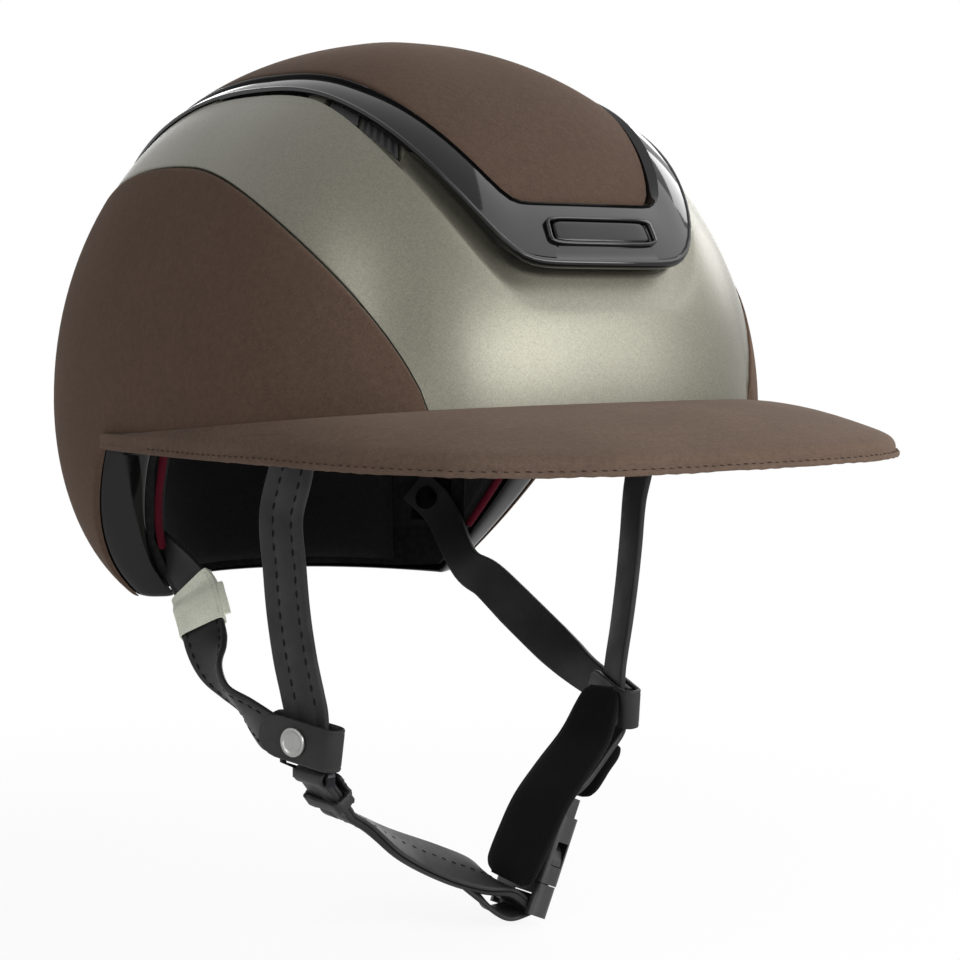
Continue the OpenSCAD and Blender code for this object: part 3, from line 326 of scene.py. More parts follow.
def shell_rows(a):
    """Pairs of latitude and offset, from the lower edge to the crown."""
    zero = np.zeros_like(a)
    low = rim_lat(a) + rim_lift(a)
    top = np.maximum(cover_top(a), low + 2)
    out, inn = frame_out(a), frame_in(a)
    fade = 1 - smooth((back(a) - 24) / 40)
    scoop = np.maximum(out - 1 - 5.2 * fade, np.maximum(cover_top(a), rim_lat(a)) + 3)
    bed = np.where((back(a) > COVER_FROM - SLACK) & (back(a) < COVER_TO + SLACK), -RECESS, 0.0)
    open_here = back(a) < BAR_OPEN + SLACK
    for start, end in WINDOWS:
        open_here |= (back(a) > start - SLACK) & (back(a) < end + SLACK)
    beside = (back(a) > WINDOWS[0][0] - SLACK) & (back(a) < WINDOWS[1][1] + SLACK)
    floor_d = np.where(open_here, -CHANNEL, np.where(beside, -0.55, 0.0))
    lip = out - np.where(beside, 2.8, 0.0)
    sunk = -2.4 * fade
    base = np.minimum(sunk, floor_d) + np.maximum(0, floor_d)
    seat = mix(out, inn, 0.47)
    rows = [(v, bed) for v in between_lat(low, top, np.linspace(0, 1, 30))]
    rows += [(top + 0.05, bed * 0.75), (top + 0.2, bed * 0.18), (top + 0.32, bed * 0.03),
             (top + 0.6, zero)]
    rows += [(v, zero) for v in between_lat(top + 0.6, scoop, np.linspace(0, 1, 9)[1:])]
    rows += [(mix(scoop, lip, k), sunk * smooth(k ** 0.8)) for k in np.linspace(0, 1, 11)[1:]]
    rows += [(lip + 0.15, mix(sunk, base, 0.35)), (lip + 0.4, base), (seat, base),
             (seat + 0.3, zero - CHANNEL), (inn - 0.4, zero - CHANNEL), (inn, zero - RECESS)]
    rows += [(v, zero - RECESS) for v in between_lat(inn, zero + 90, (0.2, 0.45, 0.72))]
    return rows


def on_piece(tree):
    """Where a point lies on its piece."""
    return node(tree, "ShaderNodeTexCoord").outputs["Object"]


def noise(tree, scale, detail, place=None, rough=0.5):
    """Soft clouds that stay with the piece."""
    place = on_piece(tree) if place is None else place
    return node(tree, "ShaderNodeTexNoise", {"Vector": place, "Scale": scale, "Detail": detail,
                                             "Roughness": rough}).outputs["Fac"]


def cells(tree, scale):
    """Small cells that stay with the piece, by the distance from their middles and a colour."""
    return node(tree, "ShaderNodeTexVoronoi", {"Vector": on_piece(tree), "Scale": scale}).outputs


def spread(tree, value, low, high, start=0.3, end=0.7):
    """A value that runs from start to end, made to run from low to high."""
    return node(tree, "ShaderNodeMapRange", {"Value": value, "From Min": start, "From Max": end,
                                             "To Min": low, "To Max": high}).outputs[0]


def tinted(tree, colour, gain):
    """A colour with its brightness times a gain."""
    return node(tree, "ShaderNodeMix", {0: 1.0, 6: colour, 7: gain}, data_type="RGBA",
                blend_type="MULTIPLY").outputs[2]


def bumped(tree, height, strength, distance, invert=False):
    return node(tree, "ShaderNodeBump", {"Strength": strength, "Distance": distance,
                                         "Height": height}, invert=invert).outputs[0]


def blank(name):
    """A new material and its node tree."""
    material = bpy.data.materials.new(name)
    material.use_nodes = True
    return material, material.node_tree


def coat(material, inputs):
    """Sets the inputs of a material's shader."""
    fill(material.node_tree, material.node_tree.nodes["Principled BSDF"], inputs)
    return material


def lacquer():
    """Olive-grey metallic lacquer: fine flakes under a satin clear coat."""
    material, tree = blank("metallic_lacquer")
    flakes = cells(tree, 2600.0)
    gain = maths(tree, "MULTIPLY", spread(tree, flakes["Color"], 0.82, 1.2, 0, 1),
                 spread(tree, noise(tree, 45.0, 3.0), 0.96, 1.04, 0, 1))
    return coat(material, {
        "Base Color": tinted(tree, (0.138, 0.133, 0.103, 1), gain),
        "Roughness": spread(tree, flakes["Distance"], 0.36, 0.46, 0, 1),
        "Normal": bumped(tree, flakes["Distance"], 0.05, 0.0002),
        "Metallic": 0.6, "Coat Weight": 0.1, "Coat Roughness": 0.22})


shell_outer = np.stack([skin(RING, t, d) for t, d in shell_rows(RING)])
shell_low = rim_lat(RING) + rim_lift(RING)
shell_inner = np.stack([skin(RING, mix(shell_low, 90, k), -SHELL_WALL)
                        for k in np.linspace(0, 0.9, 10)])
make_piece("shell", *bowl(shell_outer, shell_inner, skin(0, 90, -RECESS),
                          skin(0, 90, -SHELL_WALL)),
           "helmet", lacquer(), "metallic_paint", ["outer_shell"], sharp=50)

# Side panels. Each is a thin carrier clad in brown suede, with its edge turned down into
# the bed in the shell. The nap is short and even, with soft clouds where it was brushed.
COVER_PROUD = 0.6
HANDS = ((-1, "right"), (1, "left"))


def new_group(name, takes, gives):
    """A node group with its sockets, and what comes in by them."""
    group = bpy.data.node_groups.new(name, "ShaderNodeTree")
    for way, sockets in (("INPUT", takes), ("OUTPUT", gives)):
        for key, kind in sockets.items():
            group.interface.new_socket(key, in_out=way, socket_type="NodeSocket" + kind)
    return group, node(group, "NodeGroupInput").outputs


def nap_group():
    """Suede: a clouded colour, a fine mottle and a short nap as bump."""
    group, given = new_group("suede_nap", {"Colour": "Color", "Brushed": "Float", "Nap": "Float"},
                             {"Colour": "Color", "Height": "Float"})
    mottle, fibre = noise(group, 420.0, 3.0), noise(group, given["Nap"], 2.0, rough=0.7)
    wide = spread(group, noise(group, 22.0, 5.0, rough=0.62),
                  maths(group, "SUBTRACT", 1.0, given["Brushed"]),
                  maths(group, "ADD", 1.0, given["Brushed"]))
    two = maths(group, "MULTIPLY", wide, spread(group, mottle, 0.93, 1.07))
    three = maths(group, "MULTIPLY", two, spread(group, fibre, 0.86, 1.14))
    node(group, "NodeGroupOutput", {"Colour": tinted(group, given["Colour"], three),
                                    "Height": maths(group, "ADD", fibre, mottle)})
    return group


NAP = nap_group()


def suede(name, colour, brushed, nap):
    material, tree = blank(name)
    hide = node(tree, "ShaderNodeGroup", {"Colour": (*colour, 1), "Brushed": brushed, "Nap": nap},
                node_tree=NAP).outputs
    return coat(material, {
        "Base Color": hide["Colour"], "Normal": bumped(tree, hide["Height"], 0.22, 0.0004),
        "Roughness": 0.95, "Specular IOR Level": 0.08, "Sheen Weight": 0.12,
        "Sheen Roughness": 0.42, "Sheen Tint": (0.62, 0.5, 0.42, 1)})


PANEL_SUEDE = suede("panel_suede", (0.084, 0.054, 0.039), 0.06, 1500.0)


def patch(outer, inner):
    """Points and faces of a closed four-sided patch between two sheets of the same grid."""
    nr, nc = outer.shape[:2]
    base = nr * nc
    points = np.concatenate([outer.reshape(-1, 3), inner.reshape(-1, 3)])
    faces = sheet_faces(nr, nc, 0, False) + sheet_faces(nr, nc, base, False)
    edge = (list(range(nc)) + [j * nc + nc - 1 for j in range(1, nr)]
            + [(nr - 1) * nc + i for i in range(nc - 2, -1, -1)]
            + [j * nc for j in range(nr - 2, 0, -1)])
    faces += [(p, q, base + q, base + p) for p, q in zip(edge, edge[1:] + edge[:1])]
    return points, faces


def rolled(n):
    """Shares across a panel and how far its face is turned down at each, 1 at the edges."""
    near = np.array([0, 0.0015, 0.004, 0.008, 0.014, 0.022])
    turned = np.array([1, 0.72, 0.42, 0.2, 0.06, 0])
    share = np.concatenate([near, np.linspace(0.05, 0.95, n), 1 - near[::-1]])
    return share, np.concatenate([turned, np.zeros(n), turned[::-1]])


def side_panel(side, hand):
    start, end = COVER_FROM + 0.5, COVER_TO - 0.4
    a = np.array([start] + [v for v in RING if start + 0.4 < v < end - 0.4] + [end])
    share, turned = rolled(34)
    top = cover_top(a) - 0.15
    top[[0, -1]] -= 1.1
    low = rim_lat(a)
    lats = [mix(low, top, k) for k in share]
    across = np.zeros_like(a)
    across[[0, -1]] = 1
    outer = np.stack([skin(a, t, COVER_PROUD - 1.1 * np.maximum(v, across))
                      for t, v in zip(lats, turned)])
    inner = np.stack([skin(a, t, 0.3 - RECESS) for t in lats])
    make_piece("side_panel_" + hand, *patch(outer, inner), "helmet", PANEL_SUEDE, "suede",
               ["side_cover_" + hand], side=side)


for side, hand in HANDS:
    side_panel(side, hand)

# Crown panel. The same suede, pressed over a domed carrier that fills the vent frame, with
# its edge tucked in against the gloss rails.
CROWN_PROUD = 1.2
crown_in = frame_in(RING) + 0.3
crown_share = [0, 0.003, 0.008, 0.016, 0.028, 0.045] + list(np.arange(0.07, 0.98, 0.035))
crown_turn = [1.1, 0.6, 0.32, 0.14, 0.04, 0] + [0] * (len(crown_share) - 6)
crown_outer = np.stack([skin(RING, mix(crown_in, 90, k), CROWN_PROUD - v)
                        for k, v in zip(crown_share, crown_turn)])
crown_inner = np.stack([skin(RING, mix(crown_in, 90, k), 0.3 - RECESS) for k in crown_share])
make_piece("crown_panel", *bowl(crown_outer, crown_inner, skin(0, 90, CROWN_PROUD),
                                skin(0, 90, 0.3 - RECESS)),
           "helmet", suede("crown_suede", (0.068, 0.044, 0.032), 0.06, 1500.0), "suede",
           ["crown_cover"])

# Vent frame. One gloss black moulding: a front bar with a sunk bed for a plate, two low
# rails and a rear bridge. It stands over the air channel on a foot by the crown panel.
PLATE_HALF, PLATE_H, PLATE_DEEP = 12.2, 0.185, 1.3
MM_A_DEGREE = 1.95


def ramp(tree, value, *stops):
    """Colours along a value; each stop is a place and a colour."""
    made = node(tree, "ShaderNodeValToRGB", {"Fac": value})
    for element, (place, colour) in zip(made.color_ramp.elements, stops):
        element.position, element.color = place, (*colour, 1)
    return made.outputs["Color"]


def gloss_black(name, shade, rough, grain, gleam):
    """Polished black moulding with a faint orange-peel and fine rub marks."""
    material, tree = blank(name)
    peel = noise(tree, 70.0, 1.0)
    light = (shade * 1.15, shade * 1.2, shade * 1.25)
    return coat(material, {
        "Base Color": ramp(tree, peel, (0, (shade * 0.8,) * 3), (1, light)),
        "Roughness": spread(tree, noise(tree, 900.0, 4.0), rough, rough + 0.06, 0.35, 0.75),
        "Normal": bumped(tree, peel, grain, 0.0003), "Specular IOR Level": gleam})


FRAME_GLOSS = gloss_black("frame_gloss", 0.004, 0.05, 0.03, 0.3)


def rounded(corners, steps=5):
    """A closed outline whose corners (x, y, radius) are rounded off; each may be an array."""
    flat = np.broadcast_arrays(*(v for x, y, _ in corners for v in (x, y)))
    spots = [np.stack(pair, -1) for pair in zip(flat[::2], flat[1::2])]
    out = []
    for i, here in enumerate(spots):
        ends = []
        for other in (spots[i - 1], spots[(i + 1) % len(spots)]):
            size = np.maximum(np.linalg.norm(other - here, axis=-1, keepdims=True), 1e-6)
            ends.append(here + (other - here) / size * np.minimum(corners[i][2], size * 0.45))
        for k in np.linspace(0, 1, steps):
            out.append(ends[0] * (1 - k) ** 2 + here * 2 * k * (1 - k) + ends[1] * k * k)
    return np.stack(out)


def sweep(name, sections, body, material, slot, nodes=(), sharp=50, side=1, closed=False):
    """A piece swept through the outlines in sections; side -1 mirrors it."""
    n, m = sections.shape[:2]
    faces = [(i * m + k, i * m + (k + 1) % m, (i + 1) % n * m + (k + 1) % m, (i + 1) % n * m + k)
             for i in range(n if closed else n - 1) for k in range(m)]
    if not closed:
        faces += [tuple(range(m - 1, -1, -1)), tuple((n - 1) * m + k for k in range(m))]
    return make_piece(name, sections.reshape(-1, 3), faces, body, material, slot, nodes, sharp,
                      side)


bar_half = columns([0, PLATE_HALF - 1.2, PLATE_HALF + 0.5, BAR_OPEN, 24, 33.2, 34]
                   + WINDOW_KEYS + [COVER_TO, 180], 2.0)
bar_half = sorted(set([v for v in bar_half if not 0 < v < PLATE_HALF + 0.5]
                      + list(np.arange(0, PLATE_HALF - 2.2, 0.8))
                      + list(np.arange(PLATE_HALF - 2.2, PLATE_HALF + 0.5, 0.15))))
BAR = whole_ring([float(v) for v in bar_half])
bar_out, bar_in = frame_out(BAR), frame_in(BAR)
bar_wide = (bar_in - bar_out) * MM_A_DEGREE
proud = mix(BAR_PROUD, RAIL_PROUD, smooth((back(BAR) - BAR_OPEN) / 32))
windows = (back(BAR) > WINDOWS[0][0] - SLACK) & (back(BAR) < WINDOWS[1][1] + SLACK)
lip = np.where(back(BAR) < BAR_OPEN + SLACK, 2.3, np.where(windows, -0.5, 0.4))
under = np.maximum(lip, np.minimum(proud - 2.2, lip + 0.6))
foot = 0.3 - CHANNEL


def bar_point(u_mm, d):
    """u_mm runs from the bar's outer edge, in millimetres along the shell."""
    return skin(BAR, bar_out + u_mm / MM_A_DEGREE, d)


face_share = np.concatenate([[0.0, 0.1, 0.2], np.arange(0.25, 0.4, 0.0125), [0.45, 0.5, 0.55],
                             np.arange(0.6, 0.76, 0.0125), [0.8, 0.9, 1.0]])
front = rounded([(bar_wide, foot, 0.2), (bar_wide, 1.0, 0.5),
                 (bar_wide * 0.93, proud - 0.4, 1.6)])
rear = rounded([(bar_wide * 0.07, proud + 0.05, 1.4), (0, proud - 1.0, 1.1), (0, lip, 0.4),
                (bar_wide * 0.12, lip, 0.4), (bar_wide * 0.49, under, 0.4),
                (bar_wide * 0.53, foot, 0.3)])
start_face, end_face = front[-1], rear[0]
sections = [bar_point(p[:, 0], p[:, 1]) for p in front]
for k in face_share[1:-1]:
    p = mix(start_face, end_face, k)
    crown_d = 0.35 * 4 * k * (1 - k)
    u = 1 - p[:, 0] / bar_wide
    bed = (np.abs(back(BAR) / PLATE_HALF) ** 7 + np.abs((u - 0.5) / PLATE_H) ** 7) ** (1 / 7)
    sunk = smooth((1.03 - bed) / 0.05)
    sections.append(bar_point(p[:, 0], p[:, 1] + crown_d - PLATE_DEEP * sunk))
sections += [bar_point(p[:, 0], p[:, 1]) for p in rear]
sweep("gloss_frame", np.stack(sections, 1), "helmet", FRAME_GLOSS, "gloss_black",
      ["vent_frame"], 32, closed=True)

# Plate. A bare gloss panel, domed and round-cornered, that is bonded into the bed in the
# middle of the front bar.
PLATE_LONG, PLATE_TALL = 11.1, 0.152
PLATE_LOW, PLATE_TOP = 4.2, 5.15


def turns(count):
    return np.linspace(0, 360, count, endpoint=False)


turn = turns(96)
corner = (np.abs(cosd(turn)) ** 7 + np.abs(sind(turn)) ** 7) ** (-1 / 7)


def plate_ring(share, d):
    a = PLATE_LONG * corner * cosd(turn) * share
    u = 0.5 + PLATE_TALL * corner * sind(turn) * share
    return skin(a, mix(frame_out(a), frame_in(a), u), d)


plate_face = [(1.0, PLATE_LOW + 0.05), (1.0, PLATE_TOP - 0.6), (0.99, PLATE_TOP - 0.28),
              (0.97, PLATE_TOP - 0.1), (0.93, PLATE_TOP), (0.7, PLATE_TOP + 0.08),
              (0.4, PLATE_TOP + 0.14)]
plate_middle = mix(frame_out(0), frame_in(0), 0.5)
make_piece("plain_plate",
           *bowl(np.stack([plate_ring(k, d) for k, d in plate_face]),
                 np.stack([plate_ring(k, PLATE_LOW) for k in (0.98, 0.6, 0.3)]),
                 skin(0, plate_middle, PLATE_TOP + 0.16), skin(0, plate_middle, PLATE_LOW)),
           "helmet", gloss_black("plate_gloss", 0.003, 0.09, 0.02, 0.2), "gloss_black",
           ["front_plate"])


def unit(v):
    v = np.asarray(v, float)
    return v / np.maximum(np.linalg.norm(v, axis=-1, keepdims=True), 1e-9)


edge_a = PLATE_HALF * corner * cosd(turn)
edge_lat = mix(frame_out(edge_a), frame_in(edge_a), 0.5 + PLATE_H * corner * sind(turn))
edge_mid = skin(edge_a, edge_lat, 5.1)
edge_up = unit(skin(edge_a, edge_lat, 6.1) - edge_mid)
edge_out = np.cross(unit(np.roll(edge_mid, -1, 0) - np.roll(edge_mid, 1, 0)), edge_up)
lip_shape = ((-0.62, -0.8), (-0.62, 0.35), (-0.5, 0.62), (-0.25, 0.78), (0, 0.84), (0.25, 0.8),
             (0.5, 0.68), (0.66, 0.45), (0.66, -0.8))
sweep("plate_rim", np.stack([edge_mid + x * edge_out + y * edge_up for x, y in lip_shape], 1),
      "helmet", FRAME_GLOSS, "gloss_black", sharp=60, closed=True)

# Grilles. Perforated strips of matt black moulding lie on the floor of the open channel. A
# ribbed strip of the same moulding carries each on to the front of its window. Its black is
# partly the moulding's own colour and partly painted shade for the shadow deep in the vent.


def satin_black(name, shade, rough, scale, depth):
    """Moulded plastic with a fine spark-eroded grain, a little lighter on worn edges."""
    material, tree = blank(name)
    cloud = noise(tree, 60.0, 4.0)
    sharpness = node(tree, "ShaderNodeNewGeometry").outputs["Pointiness"]
    edge = spread(tree, sharpness, 0.0, 0.6, 0.5, 0.62)
    tone = spread(tree, cloud, shade * 0.85, shade * 1.2)
    worn = maths(tree, "MULTIPLY_ADD", tone, edge, tone)
    grey = node(tree, "ShaderNodeCombineColor", dict.fromkeys(("Red", "Green", "Blue"), worn))
    return coat(material, {
        "Base Color": grey.outputs[0], "Roughness": spread(tree, cloud, rough, rough + 0.12),
        "Normal": bumped(tree, cells(tree, scale)["Distance"], 0.3, depth)})


def dress(name, material):
    """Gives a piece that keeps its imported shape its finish."""
    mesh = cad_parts[name].data
    mesh.materials.clear()
    mesh.materials.append(material)


MATT_MOULDING = satin_black("matt_moulding", 0.012, 0.55, 1800.0, 0.0001)
dress("vent_grilles", MATT_MOULDING)
RIBBED, RIB_PITCH, RIB_HIGH = ((38.9, 47.2), (65.3, 73.2)), 1.6, 0.35
# The ribbed strips' matt black is partly painted shade: it darkens the front of each window, where
# the vent's shadow falls.
for side, hand in HANDS:
    for start, end in RIBBED:
        a = np.linspace(start, end, int((end - start) * 4))
        rib = RIB_HIGH * (0.5 + 0.5 * np.sin(a * 2 * np.pi / RIB_PITCH))
        low, top = frame_out(a) - 2.2, mix(frame_out(a), frame_in(a), 0.4)
        across = rounded([(low, rib - 2.6, 0.2), (top, rib - 2.6, 0.2), (top, -2.96, 0.1),
                          (low, -2.96, 0.1)], 4)
        sweep("ribbed_grille_%s_%d" % (hand, start),
              np.stack([skin(a, p[:, 0], p[:, 1]) for p in across], 1), "helmet", MATT_MOULDING,
              "matt_black", sharp=38, side=side)

# Edge trim. A polished black moulding closes the lower edge from ear to ear round the nape,
# and a soft-touch strip closes the brow. Both are pressed on over shell and foam.


def edge_band(a, round_by, swell):
    """Sections of a trim with rounded corners and a slightly domed lower face."""
    low, top = rim_lat(a) - 0.2, rim_lat(a) + rim_lift(a) - 0.35
    outline = rounded([(top, -1.95, 0.15), (mix(top, low, 0.7), -1.95, 0.5),
                       (low + 0.1, -3.6, round_by), (low - swell, -6.5, 2.2),
                       (low - swell, -13.5, 2.2), (low + 0.1, -17.2, round_by),
                       (mix(top, low, 0.6), -18.9, 0.8), (top, -18.9, 0.2)], 6)
    return np.stack([skin(a, p[:, 0], p[:, 1]) for p in outline], 1)


trim_a = np.concatenate([np.linspace(EAR_FROM, EAR_TO + 2, 40), np.linspace(EAR_TO + 4, 180, 30)])
trim_a = np.concatenate([trim_a, 360 - trim_a[-2::-1]])
sweep("gloss_edge_trim", edge_band(trim_a, 2.6, 0.35), "helmet",
      gloss_black("trim_gloss", 0.003, 0.07, 0.025, 0.22), "gloss_black", ["edge_trim"], 60)


def knit_group():
    """Fine knitted cloth: rows of stitches as bump, and a soft clouded tone."""
    group, given = new_group("fine_knit", {"Colour": "Color", "Pitch": "Float"},
                             {"Colour": "Color", "Height": "Float"})
    loops = cells(group, given["Pitch"])["Distance"]
    gain = maths(group, "MULTIPLY", spread(group, loops, 1.15, 0.7, 0, 0.7),
                 spread(group, noise(group, 30.0, 3.0), 0.85, 1.15))
    height = maths(group, "SUBTRACT", noise(group, 2400.0, 2.0), loops)
    node(group, "NodeGroupOutput", {"Colour": tinted(group, given["Colour"], gain),
                                    "Height": height})
    return group


KNIT = knit_group()


def cloth(name, colour, pitch, depth, sheen):
    material, tree = blank(name)
    knit = node(tree, "ShaderNodeGroup", {"Colour": (*colour, 1), "Pitch": pitch},
                node_tree=KNIT).outputs
    return coat(material, {
        "Base Color": knit["Colour"], "Normal": bumped(tree, knit["Height"], 0.45, depth),
        "Roughness": 0.92, "Specular IOR Level": 0.15, "Sheen Weight": sheen,
        "Sheen Roughness": 0.5})


SOFT_BLACK = cloth("soft_facing", (0.012, 0.012, 0.013), 1500.0, 0.00015, 0.05)
brow_a = np.linspace(0.6 - EAR_FROM, EAR_FROM - 0.6, 150)
sweep("brow_edge_trim", edge_band(brow_a, 2.2, 0.0), "helmet", SOFT_BLACK, "soft_trim",
      ["brow_trim"], 60)

# Foam liner. Dark moulded bead foam, glued into the shell, with the air ways cut through it.
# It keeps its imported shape, and the pads and straps are placed on its inner wall.
FACET_GAP, FOAM = 1.1, 17.0


def foam_pt(a, t, off):
    """A point that lies off inside the foam's inner wall."""
    a, t = np.broadcast_arrays(np.asarray(a, float), np.asarray(t, float))
    deep = (SHELL_WALL + FACET_GAP + FOAM * np.where(t < 0, mix(1, 0.82, -t / 55), 1)
            + 8 * cosd(a) ** 2 * np.where(t > 0, cosd(t), 1) + np.where(t > 0, 3 * sind(t), 0))
    return skin(a, t, -deep - off)


def bead_foam():
    material, tree = blank("bead_foam")
    beads = cells(tree, 330.0)["Distance"]
    return coat(material, {
        "Base Color": ramp(tree, beads, (0, (0.011, 0.011, 0.012)), (0.7, (0.004, 0.004, 0.0045))),
        "Normal": bumped(tree, beads, 0.4, 0.0004, True), "Roughness": 0.8,
        "Specular IOR Level": 0.2})


dress("foam_liner", bead_foam())

# Comfort pads. Wicking black cloth over soft foam, thick in the middle and sewn down to a
# thin edge all round. They hold to the liner at the brow, crown, nape, sides and ears.
PAD_CLOTH = cloth("wicking_cloth", (0.010, 0.010, 0.011), 1100.0, 0.0003, 0.06)
PAD_GAP, PAD_EDGE = 1.75, 1.2


def wall_pad(name, cad_node, start, end, low, high, thick, side=1, grid=(44, 20)):
    """A pillow on the foam wall; low and high are latitudes, or functions of the plan angle."""
    a = np.linspace(start, end, grid[0])
    low, high = (v(a) if callable(v) else v for v in (low, high))
    across = 1 - np.abs(2 * np.linspace(0, 1, grid[0]) - 1) ** 9
    rows_out, rows_in = [], []
    for v in np.linspace(0, 1, grid[1]):
        lat = mix(low, high, v)
        up = 1 - abs(2 * v - 1) ** 5
        puff = PAD_EDGE + (thick - PAD_EDGE) * np.sqrt(np.clip(across * up, 0, 1))
        rows_out.append(foam_pt(a, lat, PAD_GAP))
        rows_in.append(foam_pt(a, lat, PAD_GAP + puff))
    piece = make_piece(name, *patch(np.stack(rows_out), np.stack(rows_in)), "helmet", PAD_CLOTH,
                       "pad_cloth", [cad_node], 70, side)


def ear_low(a):
    return rim_lat(a) + rim_lift(a) + 2


wall_pad("brow_pad_cloth", "brow_pad", -52, 52, TEMPLE_LAT + 3, 14, 5.7)
wall_pad("rear_pad_cloth", "rear_pad", 131, 229, NAPE_LAT + 5, -8, 5.7)
for side, hand in HANDS:
    wall_pad("side_pad_" + hand, "side_pads", 76, 118, 2, 22, 5.7, side)
    wall_pad("ear_pad_" + hand, "ear_pads", 103.5, 114, ear_low, -3, 4.7, side, (24, 24))

crown_turns = np.linspace(-180, 180, 72, endpoint=False)
crown_rows = [(62, 1.2), (62.6, 2.6), (63.8, 4.0), (66, 5.2), (70, 5.7), (76, 5.8), (83, 5.8)]
crown_pad = make_piece(
    "crown_pad_cloth",
    *bowl(np.stack([foam_pt(crown_turns, t, PAD_GAP) for t, _ in crown_rows]),
          np.stack([foam_pt(crown_turns, t, PAD_GAP + d) for t, d in crown_rows]),
          foam_pt(0, 90, PAD_GAP), foam_pt(0, 90, PAD_GAP + crown_rows[-1][1])),
    "helmet", PAD_CLOTH, "pad_cloth", ["crown_pad"], 70)

# Piping. A crimson woven cord is sewn along the front and lower edge of each ear pad. It is
# round, and follows a smooth line on the foam wall.


def spline(points, steps):
    """A smooth line through points of any width, with equal steps between neighbours."""
    p = np.asarray(points, float)
    wide = np.concatenate([[2 * p[0] - p[1]], p, [2 * p[-1] - p[-2]]])
    out = []
    for i in range(len(p) - 1):
        a, b, c, d = wide[i:i + 4]
        for k in np.linspace(0, 1, steps, endpoint=False):
            out.append(0.5 * (2 * b + (c - a) * k + (2 * a - 5 * b + 4 * c - d) * k ** 2
                              + (3 * b - a - 3 * c + d) * k ** 3))
    return np.array(out + [p[-1]])


def headings(line):
    return unit(np.gradient(np.asarray(line, float)[:, :3], axis=0))


def tube(line, radius, sides=12, aim=(0, 0.3, 1)):
    """Sections of a round cord along a line."""
    ahead = headings(line)
    u = unit(np.cross(ahead, aim))
    v = np.cross(ahead, u)
    return np.stack([line + radius * (cosd(k) * u + sind(k) * v) for k in turns(sides)], 1)


def woven(name, colour, scale, patches, weave, clouds, depth, rough, gleam):
    """A woven cord or tape; weave and clouds are the ends of two ranges of brightness."""
    material, tree = blank(name)
    yarn = cells(tree, scale)["Distance"]
    gain = maths(tree, "MULTIPLY", spread(tree, yarn, *weave, 0, 0.7),
                 spread(tree, noise(tree, patches, 3.0), *clouds))
    return coat(material, {
        "Base Color": tinted(tree, (*colour, 1), gain),
        "Normal": bumped(tree, yarn, depth, 0.0002, True), "Roughness": rough,
        "Specular IOR Level": gleam})


CRIMSON = woven("crimson_piping", (0.085, 0.003, 0.012), 2200.0, 120.0, (1.15, 0.6),
                (0.85, 1.15), 0.5, 0.8, 0.1)
piping_line = spline(np.concatenate([
    [foam_pt(101.6, t, 2.2) for t in (-2, -8)],
    [foam_pt(a, ear_low(np.array([a]))[0] - 2.7, 2.2) for a in (103.2, 106.5, 110, 113)]]), 8)
for side, hand in HANDS:
    sweep("piping_" + hand, tube(piping_line, 1.45), "helmet", CRIMSON, "piping",
          ["liner_piping"], 70, side)

# Peak. Suede is pulled over a stiff board, turned down round the edge and sewn through a
# narrow flange to the fabric underneath, with a row of dark stitches in the groove.
PEAK_HALF, PEAK_REACH, PEAK_MID, PEAK_LAP = 110.0, 207.0, -50.0, 1.3
ROOT_Z, ROOT_SLOPE, RIM_Z, PEAK_LOW = -7.9, -0.094, -6.6, -5.45


def root_pt(a):
    """The line on the shell that the peak meets, which rises to the front."""
    z = ROOT_Z + ROOT_SLOPE * skin(a, 0, 0)[..., 1]
    z = ROOT_Z + ROOT_SLOPE * skin(a, np.maximum(0, z) / 2.2, 0)[..., 1]
    lat = np.degrees(np.arcsin(z / np.where(z > 0, CROWN, TUCK_DROP)))
    return skin(a, lat, COVER_PROUD + 0.6)


def rim_pt(a):
    p = root_pt(a)
    x, y = p[..., 0], p[..., 1]
    b = np.arctan2(x, PEAK_MID - y)
    r = ((np.abs(np.sin(b)) / PEAK_HALF) ** 3.5
         + (np.abs(np.cos(b)) / (PEAK_REACH + PEAK_MID)) ** 3.5) ** (-1 / 3.5)
    ahead = np.stack([r * np.sin(b), PEAK_MID - r * np.cos(b), np.full_like(r, RIM_Z)], -1)
    out = mix(PEAK_HALF - HALF_W - 0.6, 1.5, np.maximum((y - PEAK_MID) / 55, 0) ** 1.5)
    beside = np.stack([x + np.sign(x) * out, y, np.full_like(r, RIM_Z)], -1)
    return np.where((y < PEAK_MID)[..., None], ahead, beside)


def peak_pt(a, k, inset, dz, eased=True):
    """A point on the peak. Near its ends, where it is narrow, the edge's steps die away, and its
    root is pressed on the shell."""
    p, q = root_pt(a), rim_pt(a)
    w = np.linalg.norm((q - p)[..., :2], axis=-1)
    if eased:
        inset = inset * np.clip((w - 4) / 9, 0.1, 1)
    cut = np.minimum(inset, 0.42 * w) / w
    h = k * (1 - cut)
    out = p + (q - p) * h[..., None]
    out[..., :2] -= (q - p)[..., :2] * (PEAK_LAP * np.clip(1 - h / 0.1, 0, 1) / w)[..., None]
    out[..., 2] += 2.2 * np.sin(np.pi * h) * np.clip((w - 4) / 30, 0, 1) + dz
    return out


